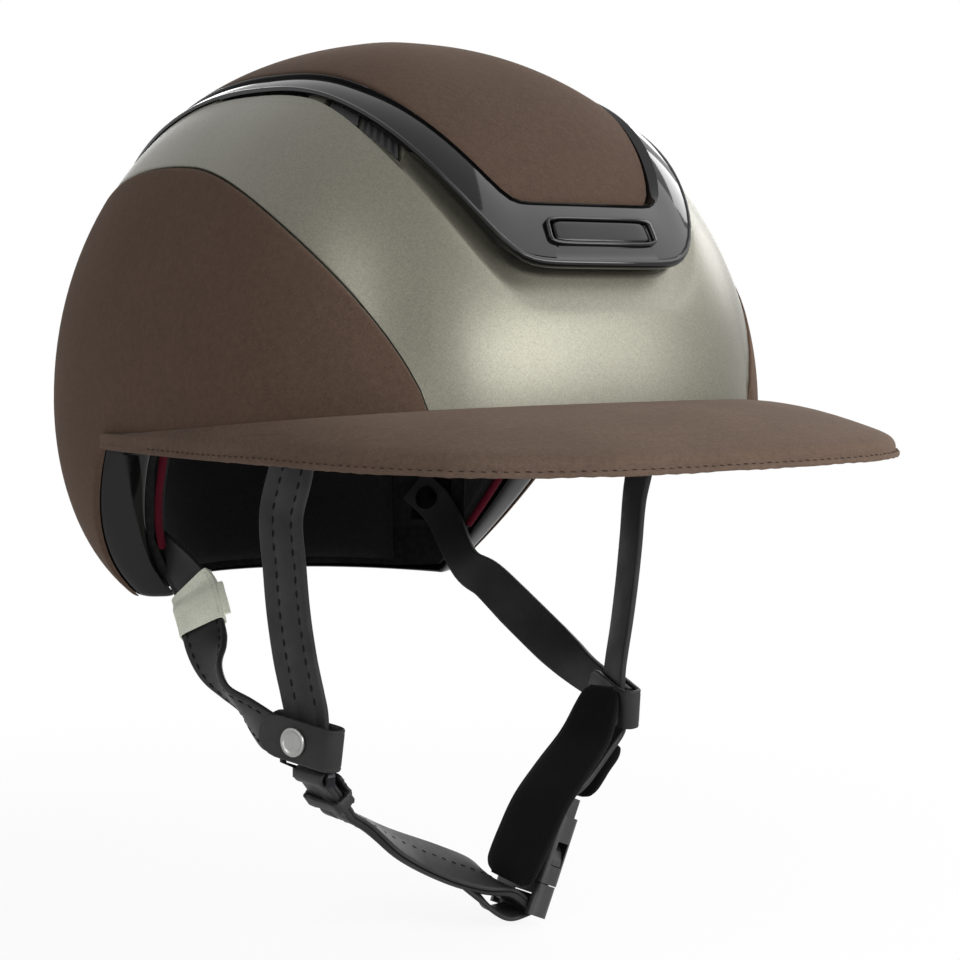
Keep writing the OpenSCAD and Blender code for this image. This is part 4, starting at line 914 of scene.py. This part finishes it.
peak_a = np.concatenate([np.linspace(-98, -60, 60), np.linspace(-59.4, 59.4, 200),
                         np.linspace(60, 98, 60)])
ragged = sum(np.sin(peak_a * f + s) for f, s in ((11.3, 1), (23.9, 2), (41.7, 0), (77.1, 4))) / 4
peak_rows = [(k, 9.0, 0) for k in (0, 0.15, 0.3, 0.45, 0.6, 0.75, 0.88)]
peak_rows += [(1, inset, dz) for inset, dz in (
    (9.0, 0), (6.4, -0.02), (4.8, -0.12), (3.6, -0.34), (2.75, -0.72), (2.1, -1.25), (1.7, -1.9),
    (1.5, -2.6), (1.5, -3.3), (1.35, -3.75), (0.85, -3.95), (0.35, -4.0), (0.08, -4.2),
    (0, -4.6), (0.05, -5.2), (0.2, PEAK_LOW))]
outer_rows, inner_rows = [], []
for k, inset, dz in peak_rows:
    loose = 0.27 * ragged * (dz < -4.1)
    outer_rows.append(peak_pt(peak_a, k, inset + 0.12 * (dz < -4.1), dz + loose))
    s = float(smooth(-dz / 2.2))
    inner_rows.append(peak_pt(peak_a, k, inset + 1.35 * s + 0.01,
                              max(dz - 1.4 * (1 - s), PEAK_LOW)))
PEAK_SUEDE = suede("peak_suede", (0.098, 0.067, 0.050), 0.12, 1300.0)
make_piece("peak_suede_top", *patch(np.stack(outer_rows[::-1]), np.stack(inner_rows[::-1])),
           "helmet", PEAK_SUEDE, "suede", ["peak_top_cover"], 55)
under_a = np.linspace(-62, 62, 180)
under_share = (0, 0.25, 0.5, 0.75, 0.92, 1)
under_top = [peak_pt(under_a, k, 1.8, -3.9, False) for k in under_share]
under_low = [peak_pt(under_a, k, 1.8, -5.3 + (0.5 if k in (0, 1) else 0), False)
             for k in under_share]
make_piece("peak_under_cloth", *patch(np.stack(under_top), np.stack(under_low)), "helmet",
           SOFT_BLACK, "soft_trim", ["peak_under_cover"], 70)
dress("peak_board", MATT_MOULDING)


def stitches(name, line, outward, length, gap, radius, body, material, slot, wander=0.0):
    """A row of short threads that dip into the surface at both ends."""
    line, outward = np.asarray(line, float), unit(outward)
    run = np.concatenate([[0], np.cumsum(np.linalg.norm(np.diff(line, axis=0), axis=1))])
    points, faces = [], []
    place, count = gap, 0
    while place + length < run[-1] - gap:
        at = place + np.linspace(0, length, 5)
        mid = np.stack([np.interp(at, run, line[:, i]) for i in range(3)], 1)
        out = unit(np.stack([np.interp(at, run, outward[:, i]) for i in range(3)], 1))
        ahead = unit(mid[-1] - mid[0])
        aside = np.cross(ahead, out[2])
        mid = mid + out * (radius * np.array([-0.9, 0.25, 0.45, 0.25, -0.9]))[:, None]
        mid = mid + aside * (wander * math.sin(count * 2.4) + np.linspace(-0.1, 0.1, 5)[:, None])
        thick = radius * np.array([0.55, 0.95, 1, 0.95, 0.55])
        base = len(points)
        points += [mid[j] + thick[j] * (cosd(60 * k) * aside + sind(60 * k) * out[j])
                   for j in range(5) for k in range(6)]
        faces += sheet_faces(5, 6, base, True)
        faces += [tuple(base + 5 - k for k in range(6)), tuple(base + 24 + k for k in range(6))]
        place += length + gap
        count += 1
    return make_piece(name, points, faces, body, material, slot, sharp=60)


def thread(name, colour):
    material, tree = blank(name)
    twist, colour = noise(tree, 3000.0, 2.0), np.array(colour)
    return coat(material, {
        "Base Color": ramp(tree, twist, (0.3, 0.6 * colour), (0.7, 1.3 * colour)),
        "Roughness": 0.8, "Specular IOR Level": 0.05})


BROWN_THREAD = thread("brown_thread", (0.04, 0.027, 0.021))
hem_a = peak_a[np.abs(peak_a) < 84]
hem = peak_pt(hem_a, 1, 0.95, -3.9)
stitches("peak_stitches", hem, hem - peak_pt(hem_a, 1, 2.5, -5.2), 2.0, 1.2, 0.21, "helmet",
         BROWN_THREAD, "suede", 0.1)

# Front straps. Each is a plain bridle-leather strap, skived at the edges and sewn near both of
# them, that is riveted to the foam wall and runs down through a divider.


def hide_group():
    """Leather: fine pores and creases as bump, and a burnished, uneven tone."""
    group, given = new_group("bridle_grain", {"Dark": "Color", "Light": "Color"},
                             {"Colour": "Color", "Dull": "Float", "Height": "Float"})
    rub = noise(group, 55.0, 4.0)
    tone = node(group, "ShaderNodeMix", {0: spread(group, rub, 0, 1, 0.3, 0.72), 6: given["Dark"],
                                         7: given["Light"]}, data_type="RGBA")
    height = maths(group, "MULTIPLY_ADD", cells(group, 1300.0)["Distance"], 0.6,
                   noise(group, 260.0, 4.0))
    node(group, "NodeGroupOutput", {"Colour": tone.outputs[2], "Height": height,
                                    "Dull": spread(group, rub, 0.62, 0.44, 0.3, 0.72)})
    return group


HIDE = hide_group()


def leather(name, dark, light):
    material, tree = blank(name)
    hide = node(tree, "ShaderNodeGroup", {"Dark": (*dark, 1), "Light": (*light, 1)},
                node_tree=HIDE).outputs
    return coat(material, {
        "Base Color": hide["Colour"], "Roughness": hide["Dull"], "Specular IOR Level": 0.25,
        "Normal": bumped(tree, hide["Height"], 0.25, 0.0002)})


STRAP_LEATHER = leather("strap_leather", (0.011, 0.011, 0.0115), (0.024, 0.024, 0.025))
STRAP_THREAD = thread("strap_thread", (0.012, 0.012, 0.012))
STRAP_W, STRAP_T = 18.0, 2.4
FRONT_SEAMS, REAR_SEAMS = (-0.58, 0.3), (-0.72, 0.72)
STITCH, STITCH_GAP, THREAD_R = 3.1, 1.5, 0.3


def wall_normal(at):
    a, t = at
    run = foam_pt(a + 1, t, 0) - foam_pt(a - 1, t, 0)
    rise = foam_pt(a, t + 1, 0) - foam_pt(a, t - 1, 0)
    n = unit(np.cross(run, rise))
    return n * np.sign(np.dot(n[:2], foam_pt(a, t, 0)[:2]))


def seat(at):
    return foam_pt(at[0], at[1], 0) - 3.1 * wall_normal(at)


def down_wall(at, heading):
    n = wall_normal(at)
    h = np.array(heading, float)
    return unit(h - n * np.dot(h, n))


def profile(seams=(), sunk=0.14, layers=False):
    """Half width and half height shares of a strap's section, with its seams sunk a little."""
    edge = [(-1, 0), (-0.992, 0.42), (-0.975, 0.72), (-0.94, 0.92), (-0.88, 1)]
    top = list(edge)
    for s in seams:
        top += [(s - 0.07, 1), (s - 0.03, 1 - sunk), (s + 0.03, 1 - sunk), (s + 0.07, 1)]
    top += [(-x, y) for x, y in edge[::-1]]
    low = [(-x, -y) for x, y in edge[1:]] + [(x, -y) for x, y in edge[:0:-1]]
    if layers:
        low = [(0.93, 0.12), (0.93, -0.12)] + low + [(-0.93, -0.12), (-0.93, 0.12)]
    return np.array(top + low)


def strap(line, nor, wide, thick, shape, steps=7):
    """Sections, smooth centre line, width direction and thickness direction of a strap."""
    line, nor = spline(line, steps), unit(spline(nor, steps))
    wide, thick = (np.interp(np.linspace(0, 1, len(line)), np.linspace(0, 1, len(v)), v)
                   for v in map(np.atleast_1d, (wide, thick)))
    ahead = headings(line)
    u = unit(np.cross(nor, ahead))
    n = np.cross(ahead, u)
    sections = (line[:, None] + shape[None, :, :1] * (wide / 2)[:, None, None] * u[:, None]
                + shape[None, :, 1:] * (thick / 2)[:, None, None] * n[:, None])
    return sections, line, u, n, wide, thick


def seam(name, made, across, start, end, body, side=1, lift=1.0, wander=0.12):
    """A row of stitches along a strap, on its face, at a share of its half width."""
    _, line, u, n, wide, thick = made
    cut = slice(int(start * len(line)), int(end * len(line)) or None)
    row = (line + u * (across * wide / 2)[:, None] + n * (lift * (thick / 2 - 0.17))[:, None])[cut]
    flip = np.array([side, 1, 1])
    stitches(name, row * flip, (n * np.sign(lift))[cut] * flip, STITCH, STITCH_GAP, THREAD_R,
             body, STRAP_THREAD, "strap_leather", wander)


def hide_piece(name, sections, body, nodes=(), side=1, closed=False):
    return sweep(name, sections, body, STRAP_LEATHER, "strap_leather", nodes, 50, side, closed)


def sewn_strap(where, side, hand, made, seams, start, end, wander=0.12):
    """A harness strap on one side, with a row of stitches at each share of its half width."""
    hide_piece("%s_strap_%s_hide" % (where, hand), made[0], "helmet",
               ["%s_strap_%s" % (where, hand)], side)
    for key, across in zip("ab", seams):
        seam("%s_seam_%s_%s" % (where, key, hand), made, across, start, end, "helmet", side,
             wander=wander)


DIVIDER = np.array([66.6, -63.6, -107.5])
STRAP_TURN, DIVIDER_TIP = -19.0, 8.0
OUT_DIR = np.array([cosd(STRAP_TURN), sind(STRAP_TURN), 0])
FORE_DIR = np.array([sind(STRAP_TURN), -cosd(STRAP_TURN), 0])
SOCKET_BAR = np.array([37.87, -64, -141.13])
FRONT_AT, REAR_AT = (62.5, -3.0), (122.0, -30.0)
front_down = down_wall(FRONT_AT, (0, 0, -1))
front_wall = wall_normal(FRONT_AT)
front_line = [seat(FRONT_AT) - 10 * front_down, seat(FRONT_AT) + 9 * front_down,
              (76.1, -63.8, -32), (74.6, -63.3, -50), (73, -63, -65), (70.6, -63, -80),
              (68, -63.3, -92), DIVIDER + (0.1, 0, 8.2), DIVIDER - (0, 0, 1)]
front_nor = [front_wall] * 2 + [unit(mix(front_wall, OUT_DIR, min(1, i / 4))) for i in range(1, 8)]
right_front = strap(front_line, front_nor, STRAP_W, STRAP_T, profile(FRONT_SEAMS))
left_front = strap(front_line + [DIVIDER - (0, 0.2, 8.9), (64, -64, -119.2), (57, -64, -125.2),
                                 (47.2, -64, -134.6), SOCKET_BAR + (2.6, 0, 2.6)],
                   front_nor + [OUT_DIR, unit((0.8, -0.1, -0.5)), unit((0.75, 0, -0.66)),
                                unit((0.77, 0, -0.64)), unit((0.75, 0, -0.66))],
                   STRAP_W, STRAP_T, profile(FRONT_SEAMS))
for (side, hand), made, end in zip(HANDS, (right_front, left_front), (0.86, 0.52)):
    sewn_strap("front", side, hand, made, FRONT_SEAMS, 0.14, end)

# Rear straps. The same leather, narrowed towards the divider. The right one is twisted below
# its sleeve, as in the photograph, and both end inside the divider's fold.
rear_down = down_wall(REAR_AT, (0, -13.6, -8.3))
rear_wall = wall_normal(REAR_AT)
rear_end = DIVIDER + 2.6 * OUT_DIR
rear_line = [seat(REAR_AT) - 9 * rear_down, seat(REAR_AT) + 8 * rear_down, (61.5, 22, -64.8),
             (65, 11, -71), (68.9, -1, -80.5), (71.4, -10, -87.2), (73, -19, -93),
             (73.6, -29, -98), (73.4, -40, -102.4)]
rear_line += [rear_end + FORE_DIR * v - (0, 0, 0.12 * v) for v in (-13.5, -8, 8.5)]
rear_wide = STRAP_W * np.array([0.83, 0.83, 0.83, 0.87, 0.91, 0.91, 0.91, 0.88, 0.82, 0.74, 0.7,
                                0.7])
plain_nor = [rear_wall] * 2 + [unit(v) for v in (
    (0.9, 0.34, 0.05), (0.8, 0.42, -0.15), (0.75, 0.44, -0.28), (0.74, 0.43, -0.3),
    (0.76, 0.36, -0.28), (0.83, 0.2, -0.18), (0.9, -0.08, -0.08))] + [OUT_DIR] * 3
twist_nor = [rear_wall] * 2 + [unit(v) for v in (
    (0.72, -0.1, 0.45), (0.66, -0.33, 0.6), (0.68, -0.38, 0.5), (0.78, -0.25, 0.1),
    (0.85, 0, -0.4), (0.75, 0.2, -0.6), (0.9, -0.1, -0.35))] + [OUT_DIR] * 3
right_rear, left_rear = (strap(rear_line, nor, rear_wide, STRAP_T, profile(REAR_SEAMS))
                         for nor in (twist_nor, plain_nor))
for (side, hand), made in zip(HANDS, (right_rear, left_rear)):
    sewn_strap("rear", side, hand, made, REAR_SEAMS, 0.3, 0.84, 0.08)

# Rivets. Dark steel backing plates lie on the foam wall and domed rivets hold the four straps.
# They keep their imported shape, with their edges broken by a small bevel.


def metal(name, colour, rough, scale, streak):
    """Turned or brushed metal with fine lines and small dull patches."""
    material, tree = blank(name)
    drawn = node(tree, "ShaderNodeVectorMath", {0: on_piece(tree), 1: streak},
                 operation="MULTIPLY")
    brush = noise(tree, scale, 3.0, drawn.outputs[0])
    return coat(material, {
        "Base Color": ramp(tree, brush, (0.3, 0.8 * np.array(colour)), (0.7, colour)),
        "Roughness": spread(tree, noise(tree, 220.0, 3.0), rough * 0.8, rough * 1.4),
        "Normal": bumped(tree, brush, 0.12, 0.0001), "Metallic": 1.0})


def softened(name, width_mm, material):
    """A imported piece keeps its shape, with its edges broken by a small bevel."""
    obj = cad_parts[name]
    dress(name, material)
    bevel = obj.modifiers.new("edge_break", "BEVEL")
    bevel.width = width_mm * 0.001
    bevel.segments = 3
    bevel.limit_method = "ANGLE"
    bevel.angle_limit = math.radians(35)
    obj.data.shade_smooth()
    obj.data.set_sharp_from_angle(angle=math.radians(60))


DARK_STEEL = metal("dark_steel", (0.022, 0.022, 0.024), 0.4, 900.0, (1, 1, 8))
SILVER = metal("brushed_silver", (0.36, 0.36, 0.35), 0.34, 700.0, (1, 1, 9))
softened("strap_anchors", 0.25, DARK_STEEL)
softened("strap_rivets", 0.2, DARK_STEEL)

# Label. A pale woven tape is folded round the right rear strap and sewn beside its edge, with
# a short free tab. Its lettering is left out.

LABEL_TAPE = woven("label_tape", (0.84, 0.86, 0.72), 1900.0, 90.0, (1.06, 0.86), (0.88, 1.04),
                   0.3, 0.85, 0.5)
_, rear_mid, rear_u, rear_n, _, _ = right_rear
spans = slice(int(2.1 * 7), int(3.9 * 7))
sleeve_mid = spline(rear_mid[spans][::2], 4)
sleeve_u = unit(spline(rear_u[spans][::2], 4))
sleeve_n = unit(spline(rear_n[spans][::2], 4))
sleeve_half, sleeve_thick, TAPE_T = 8.45, 2.05, 0.45


def rounded_box(x, y, r, steps):
    """The outline of a box of half sizes x and y, with rounded corners."""
    return rounded([(x * i, y * j, r) for i, j in ((-1, -1), (1, -1), (1, 1), (-1, 1))], steps)


sleeve_shape = rounded_box(1.0, 1.0, 0.45, 6)
swell = 1 + 0.03 * np.sin(np.linspace(0, 5, len(sleeve_mid)))


def sleeve(extra):
    aside = sleeve_shape[None, :, :1] * ((sleeve_half + extra) * swell)[:, None, None]
    return (sleeve_mid[:, None] + aside * sleeve_u[:, None]
            + sleeve_shape[None, :, 1:] * (sleeve_thick + extra) * sleeve_n[:, None])


both_sheets = np.concatenate([sleeve(v).reshape(-1, 3) for v in (TAPE_T, 0.0)])
rim, count = len(sleeve_shape), len(sleeve_mid)
base = count * rim
sleeve_faces = sheet_faces(count, rim, 0, True) + sheet_faces(count, rim, base, True)
for i in (0, base - rim):
    sleeve_faces += [(i + k, i + (k + 1) % rim, base + i + (k + 1) % rim, base + i + k)
                     for k in range(rim)]
make_piece("label_sleeve", both_sheets, sleeve_faces, "helmet", LABEL_TAPE, "label_tape",
           ["care_label"], 60, -1)
tab_from, tab_to = int(0.3 * count), int(0.95 * count)
tab_mid = (sleeve_mid - sleeve_u * 9.5)[tab_from:tab_to]
tab_shape = rounded_box(1.0, 1.0, 0.3, 3)
tab_lean = unit(sleeve_u + 0.25 * sleeve_n)[tab_from:tab_to]
tab = (tab_mid[:, None] + tab_shape[None, :, :1] * 1.6 * tab_lean[:, None]
       + tab_shape[None, :, 1:] * 0.5 * sleeve_n[tab_from:tab_to][:, None])
sweep("label_tab", tab, "helmet", LABEL_TAPE, "label_tape", sharp=60, side=-1)
PALE_THREAD = thread("pale_thread", (0.62, 0.64, 0.55))
label_row = (sleeve_mid - sleeve_u * 7.6 + sleeve_n * (sleeve_thick + 0.5))[1:-1]
stitches("label_seam", label_row * (-1, 1, 1), sleeve_n[1:-1] * (-1, 1, 1), 1.1, 0.6, 0.18,
         "helmet", PALE_THREAD, "label_tape")

# Dividers. A leather band is folded round the straps at each side. Its flap turns on the fold
# and is held by a press stud with a plain raised rim, and a steel shackle hangs on the right.
BAND_W, BAND_T, FOLD_Y, IN_X, OUT_X, STUD_Y = 14.5, 1.6, -12.4, -2.95, 3.95, 1.0
END_R = BAND_W / 2


def spun(p):
    """The divider's own axes, turned to the helmet's."""
    x, y, z = np.moveaxis(np.asarray(p, float), -1, 0)
    c, s = cosd(DIVIDER_TIP), sind(DIVIDER_TIP)
    y, z = y * c - z * s, y * s + z * c
    c, s = cosd(STRAP_TURN), sind(STRAP_TURN)
    return np.stack([x * c - y * s, x * s + y * c, z], -1)


def end_width(y, tip):
    """Width of a band whose end is a half round."""
    past = np.maximum(np.abs(y) - (tip - END_R), 0)
    return np.maximum(2 * np.sqrt(np.maximum(END_R ** 2 - past ** 2, 0)), 1.2)


def wrapped(xy, wide, steps=5):
    """A leather band that follows a path across the divider's own x and y."""
    path = np.array([(x, y, 0) for x, y in xy], float)
    ahead = headings(path)
    out = np.stack([ahead[:, 1], -ahead[:, 0], np.zeros(len(path))], -1)
    return strap(spun(path) + DIVIDER, spun(out), wide, BAND_T, profile((-0.8, 0.8), 0.1), steps)


def lathe(outline, place, axis, aim, sides=40):
    """Points and faces of a turned solid; outline is (radius, height) from pole to pole."""
    axis = unit(axis)
    u = unit(np.cross(axis, aim))
    v = np.cross(axis, u)
    rings = [np.stack([place + axis * h + r * (cosd(k) * u + sind(k) * v) for k in turns(sides)])
             for r, h in outline[1:-1]]
    poles = [[place + axis * outline[i][1]] for i in (0, -1)]
    points = np.concatenate(rings + poles)
    faces = sheet_faces(len(rings), sides, 0, True)
    last = len(rings) * sides
    for k in range(sides):
        faces.append((k, (k + 1) % sides, last))
        faces.append((last - sides + k, last - sides + (k + 1) % sides, last + 1))
    return points, faces


inner_y = [18.95, 18.6, 17.8, 16.4, 14.4, 11.7, 6, 0, -6, -10.6]
inner_wide = list(end_width(np.array(inner_y), 19)) + [BAND_W] * 6
inner_path = [(IN_X + 0.8, y) for y in inner_y]
inner_path += [(IN_X + 1.05, FOLD_Y + 0.1), (-1.1, FOLD_Y - 1.1), (0.1, FOLD_Y - 1.75),
               (1.5, FOLD_Y - 1.9), (2.8, FOLD_Y - 1.5), (3.7, FOLD_Y - 0.9)]
flap_y = [-11.4, -8, -4, 1, 6, 8.7, 11.4, 13.4, 14.8, 15.6, 15.95]
flap_path = [(OUT_X - 0.3, FOLD_Y - 1.0), (OUT_X + 0.25, FOLD_Y - 0.4)]
flap_path += [(OUT_X + 0.8, y) for y in flap_y]
flap_y = np.array(flap_y)
flap_wide = [BAND_W, BAND_W] + list(np.where(flap_y > 0, end_width(flap_y, 16), BAND_W))
band_made, flap_made = wrapped(inner_path, inner_wide), wrapped(flap_path, flap_wide)
CAP = [(r, OUT_X + h) for r, h in (
    (0, 1.5), (2.5, 1.5), (2.5, 0.1), (3.05, 0.1), (3.05, 1.72), (4.7, 1.72), (4.95, 1.85),
    (5.0, 2.3), (4.9, 2.75), (4.6, 3.0), (4.2, 3.05), (3.85, 2.95), (3.6, 2.62), (3.3, 2.5),
    (2.4, 2.58), (1.2, 2.64), (0, 2.66))]
for side, hand in HANDS:
    hide_piece("divider_band_" + hand, band_made[0], "helmet", ["divider_" + hand], side)
    hide_piece("divider_flap_hide_" + hand, flap_made[0], "flap_" + hand, ["divider_flap_" + hand],
               side)
    stud = lathe(CAP, DIVIDER + spun((0, STUD_Y, 0)), spun((1, 0, 0)), (0, 0, 1))
    make_piece("stud_" + hand, *stud, "flap_" + hand, SILVER, "bright_steel",
               ["stud_cap_" + hand], 50, side)
dress("stud_posts", SILVER)
softened("chin_shackle", 0.3, DARK_STEEL)

# Chin strap. Two layers of leather hang in a bow from the shackle to the buckle, with a loop at
# each end and the free end folded up behind the buckle.
CHIN_TOP = np.array([-64.2, -64, -120])
RUN_DIR = np.array([0.59872, 0, -0.80096])
TAIL = np.array([22.87, -64, -175.83])
CHIN_W, CHIN_T = 17.4, 3.6


def leaning(points, lean):
    """The strap's thickness direction at each point, leant to the rear by so many degrees."""
    ahead = headings(points)
    flat = unit(np.stack([ahead[:, 2], np.zeros(len(ahead)), -ahead[:, 0]], -1))
    lean = np.array(lean, float)[:, None]
    return cosd(lean) * flat + sind(lean) * np.array([0, 1, 0])


def strap_loop(place, inner, thick, sides=40):
    """A leather loop about the y axis."""
    shape = profile()
    radius = inner + thick / 2 * (1 + shape[:, 1])
    return np.stack([np.stack([place[0] + radius * cosd(k), place[1] + CHIN_W / 2 * shape[:, 0],
                               place[2] + radius * sind(k)], -1) for k in turns(sides)])


chin_line = np.array([CHIN_TOP + RUN_DIR * v for v in (1.98, 6, 10.5, 14.5, 17.4)]
                     + [(-46.2, -64.2, -137.9), (-32, -64.6, -147.6), (-13, -65, -157),
                        (2, -65, -163.6), (12.5, -64.6, -169), (19.97, -64, -174.83)])
chin_made = strap(chin_line, leaning(chin_line, (0, 0, 0, 0, 0, 8, 24, 34, 28, 4, 0)),
                  CHIN_W, CHIN_T, profile((-0.1,), 0.1, layers=True))
hide_piece("chin_strap_hide", chin_made[0], "chin", ["chin_strap"])
seam("chin_seam", chin_made, -0.1, 0.32, 0.92, "chin", lift=-1.0)
seam("chin_seam_under", chin_made, -0.1, 0.32, 0.92, "chin")
fold_line = np.array([(-5, -64.8, -161.6), (1.5, -64.8, -168.2), (7.5, -64.8, -175),
                      (13.2, -64.5, -178.8), (22.47, -64, -178.53)])
fold_made = strap(fold_line, leaning(fold_line, (34, 26, 14, 4, 0)), CHIN_W * 0.94, 1.7,
                  profile((-0.75, 0.75), 0.1))
hide_piece("chin_fold", fold_made[0], "chin")
hide_piece("chin_loop_top", strap_loop(CHIN_TOP, 1.6, 1.4), "chin", closed=True)
hide_piece("chin_loop_tail", strap_loop(TAIL, 1.95, 1.5), "chin", closed=True)

# Keeper. A rough-cut leather loop slides on the straight length and is closed by a small
# steel stud, whose head holds a tail of the same leather.
keeper_z = unit(RUN_DIR)
keeper_x = np.array([keeper_z[2], 0, -keeper_z[0]])
keeper_from = CHIN_TOP + 4 * RUN_DIR
KEEPER_T = 1.6


def at_keeper(p):
    """A point in the keeper's own axes, moved to the helmet's."""
    p = np.asarray(p, float)
    return (keeper_from + p[..., :1] * keeper_x + p[..., 1:2] * np.array([0, 1, 0])
            + p[..., 2:] * keeper_z)


way = rounded_box(3.2, 10.05, 1.7, 7)
way = np.concatenate([mix(here, then, np.linspace(0, 1, 6, endpoint=False)[:, None])
                      if np.linalg.norm(then - here) > 3 else here[None]
                      for here, then in zip(way, np.roll(way, -1, 0))])
tang = unit(np.roll(way, -1, 0) - np.roll(way, 1, 0))
outward = np.stack([tang[:, 1], -tang[:, 0]], -1)
cut_shape = profile()
wobble = 0.16 * np.sin(np.arange(len(way)) * 1.7) + 0.12 * np.sin(np.arange(len(way)) * 3.9)
keeper = np.stack([at_keeper(np.stack([
    x + u * KEEPER_T / 2 * cut_shape[:, 1] * 0.97, y + v * KEEPER_T / 2 * cut_shape[:, 1] * 0.97,
    5.9 + (2.0 + w) * cut_shape[:, 0]], -1)) for (x, y), (u, v), w in zip(way, outward, wobble)])
hide_piece("keeper_hide", keeper, "keeper", ["strap_keeper"], closed=True)
tab_z = np.linspace(-2.2, 7.2, 18)
tab_half = np.interp(tab_z, (-2.2, -1.6, -0.6, 3, 7.2), (6.6, 8.0, 8.6, 8.2, 7.4))
tab_half += 0.22 * np.sin(tab_z * 2.9) + 0.15 * np.sin(tab_z * 5.3)
keeper_tab = np.stack([at_keeper(np.stack([
    -4.5 - 0.7 * cut_shape[:, 1] - 0.12 * math.sin(1.3 * z),
    0.5 * math.sin(z) + h * cut_shape[:, 0],
    z + 0.35 * np.sin(4 * cut_shape[:, 0] + z)], -1)) for z, h in zip(tab_z, tab_half)])
hide_piece("keeper_tab", keeper_tab, "keeper")
small_stud = [(0, 0), (1.2, 0), (1.2, 1.75), (3.1, 1.75), (3.4, 1.95), (3.35, 2.35), (3.0, 2.75),
              (2.2, 2.9), (0, 2.95)]
make_piece("keeper_stud_cap", *lathe(small_stud, at_keeper((-2.8, 0, 4)), -keeper_x, (0, 1, 0)),
           "keeper", DARK_STEEL, "bright_steel", ["keeper_stud"], 50)

# Chin pad. A soft padded sleeve lies along the left strap to the buckle, with a shorter padded
# flap behind it. Both are black knit over foam with turned and sewn edges.
CHIN_CLOTH = cloth("chin_cloth", (0.003, 0.003, 0.0034), 1500.0, 0.0002, 0.02)


def cushion(name, line, wide, thick, cad_node):
    """A pillow along a line, thick in the middle with a thin sewn edge all round."""
    line = np.array(line, float)
    ahead = headings(line)
    nor = unit(np.stack([-ahead[:, 2], np.zeros(len(line)), ahead[:, 0]], -1))
    line, nor = spline(line, 10), unit(spline(nor, 10))
    wide, thick = (spline(np.array(v, float)[:, None], 10)[:, 0] for v in (wide, thick))
    place = np.abs(np.linspace(-1, 1, len(line)))
    wide = wide * np.maximum(np.clip(1 - place ** 22, 0, 1) ** 0.4, 0.72)
    thick = thick * np.maximum(np.sqrt(np.clip(1 - place ** 14, 0, 1)), 0.3)
    run = headings(line)
    u = unit(np.cross(nor, run))
    n = np.cross(run, u)
    angle = turns(40)
    across = signed_power(cosd(angle), 0.75)
    seam_dip = 0.12 * np.exp(-((np.abs(across) - 0.86) / 0.05) ** 2)
    high = signed_power(sind(angle), 0.8) * (1 - seam_dip)
    sections = (line[:, None] + (across[None] * wide[:, None] / 2)[..., None] * u[:, None]
                + (high[None] * thick[:, None] / 2)[..., None] * n[:, None])
    piece = sweep(name, sections, "helmet", CHIN_CLOTH, "pad_cloth", [cad_node], 75)


cushion("chin_pad_cloth", [(60, -64.5, -102), (57, -65, -109.5), (51.2, -65.5, -119.6),
                           (40.9, -66, -129.7), (30.2, -66.8, -140.2), (22.6, -67.6, -151),
                           (16.8, -68, -160.4), (14.0, -67.5, -166.2)],
        (18, 23, 27, 29, 30, 30, 29, 26), (2.6, 4.6, 5.2, 5.4, 5.2, 5.2, 4.6, 2.6), "chin_pad")
cushion("chin_pad_flap_cloth", [(64.8, -60, -123.6), (61.4, -60, -127), (56.4, -60, -131.6),
                                (51.6, -60, -137.6), (48.8, -60, -141.2)],
        (20, 25, 26, 25, 20), (2.4, 4, 4.4, 4, 2.4), "chin_pad_flap")

# Buckle. A grained black side-squeeze buckle: a socket on the left strap, and a tongue with
# two sprung prongs on the chin strap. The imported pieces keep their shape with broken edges.
BUCKLE_BLACK = satin_black("buckle_moulding", 0.011, 0.34, 1500.0, 0.00006)
for name in ("buckle_socket", "buckle_tongue", "buckle_prong_front", "buckle_prong_rear"):
    softened(name, 0.35, BUCKLE_BLACK)
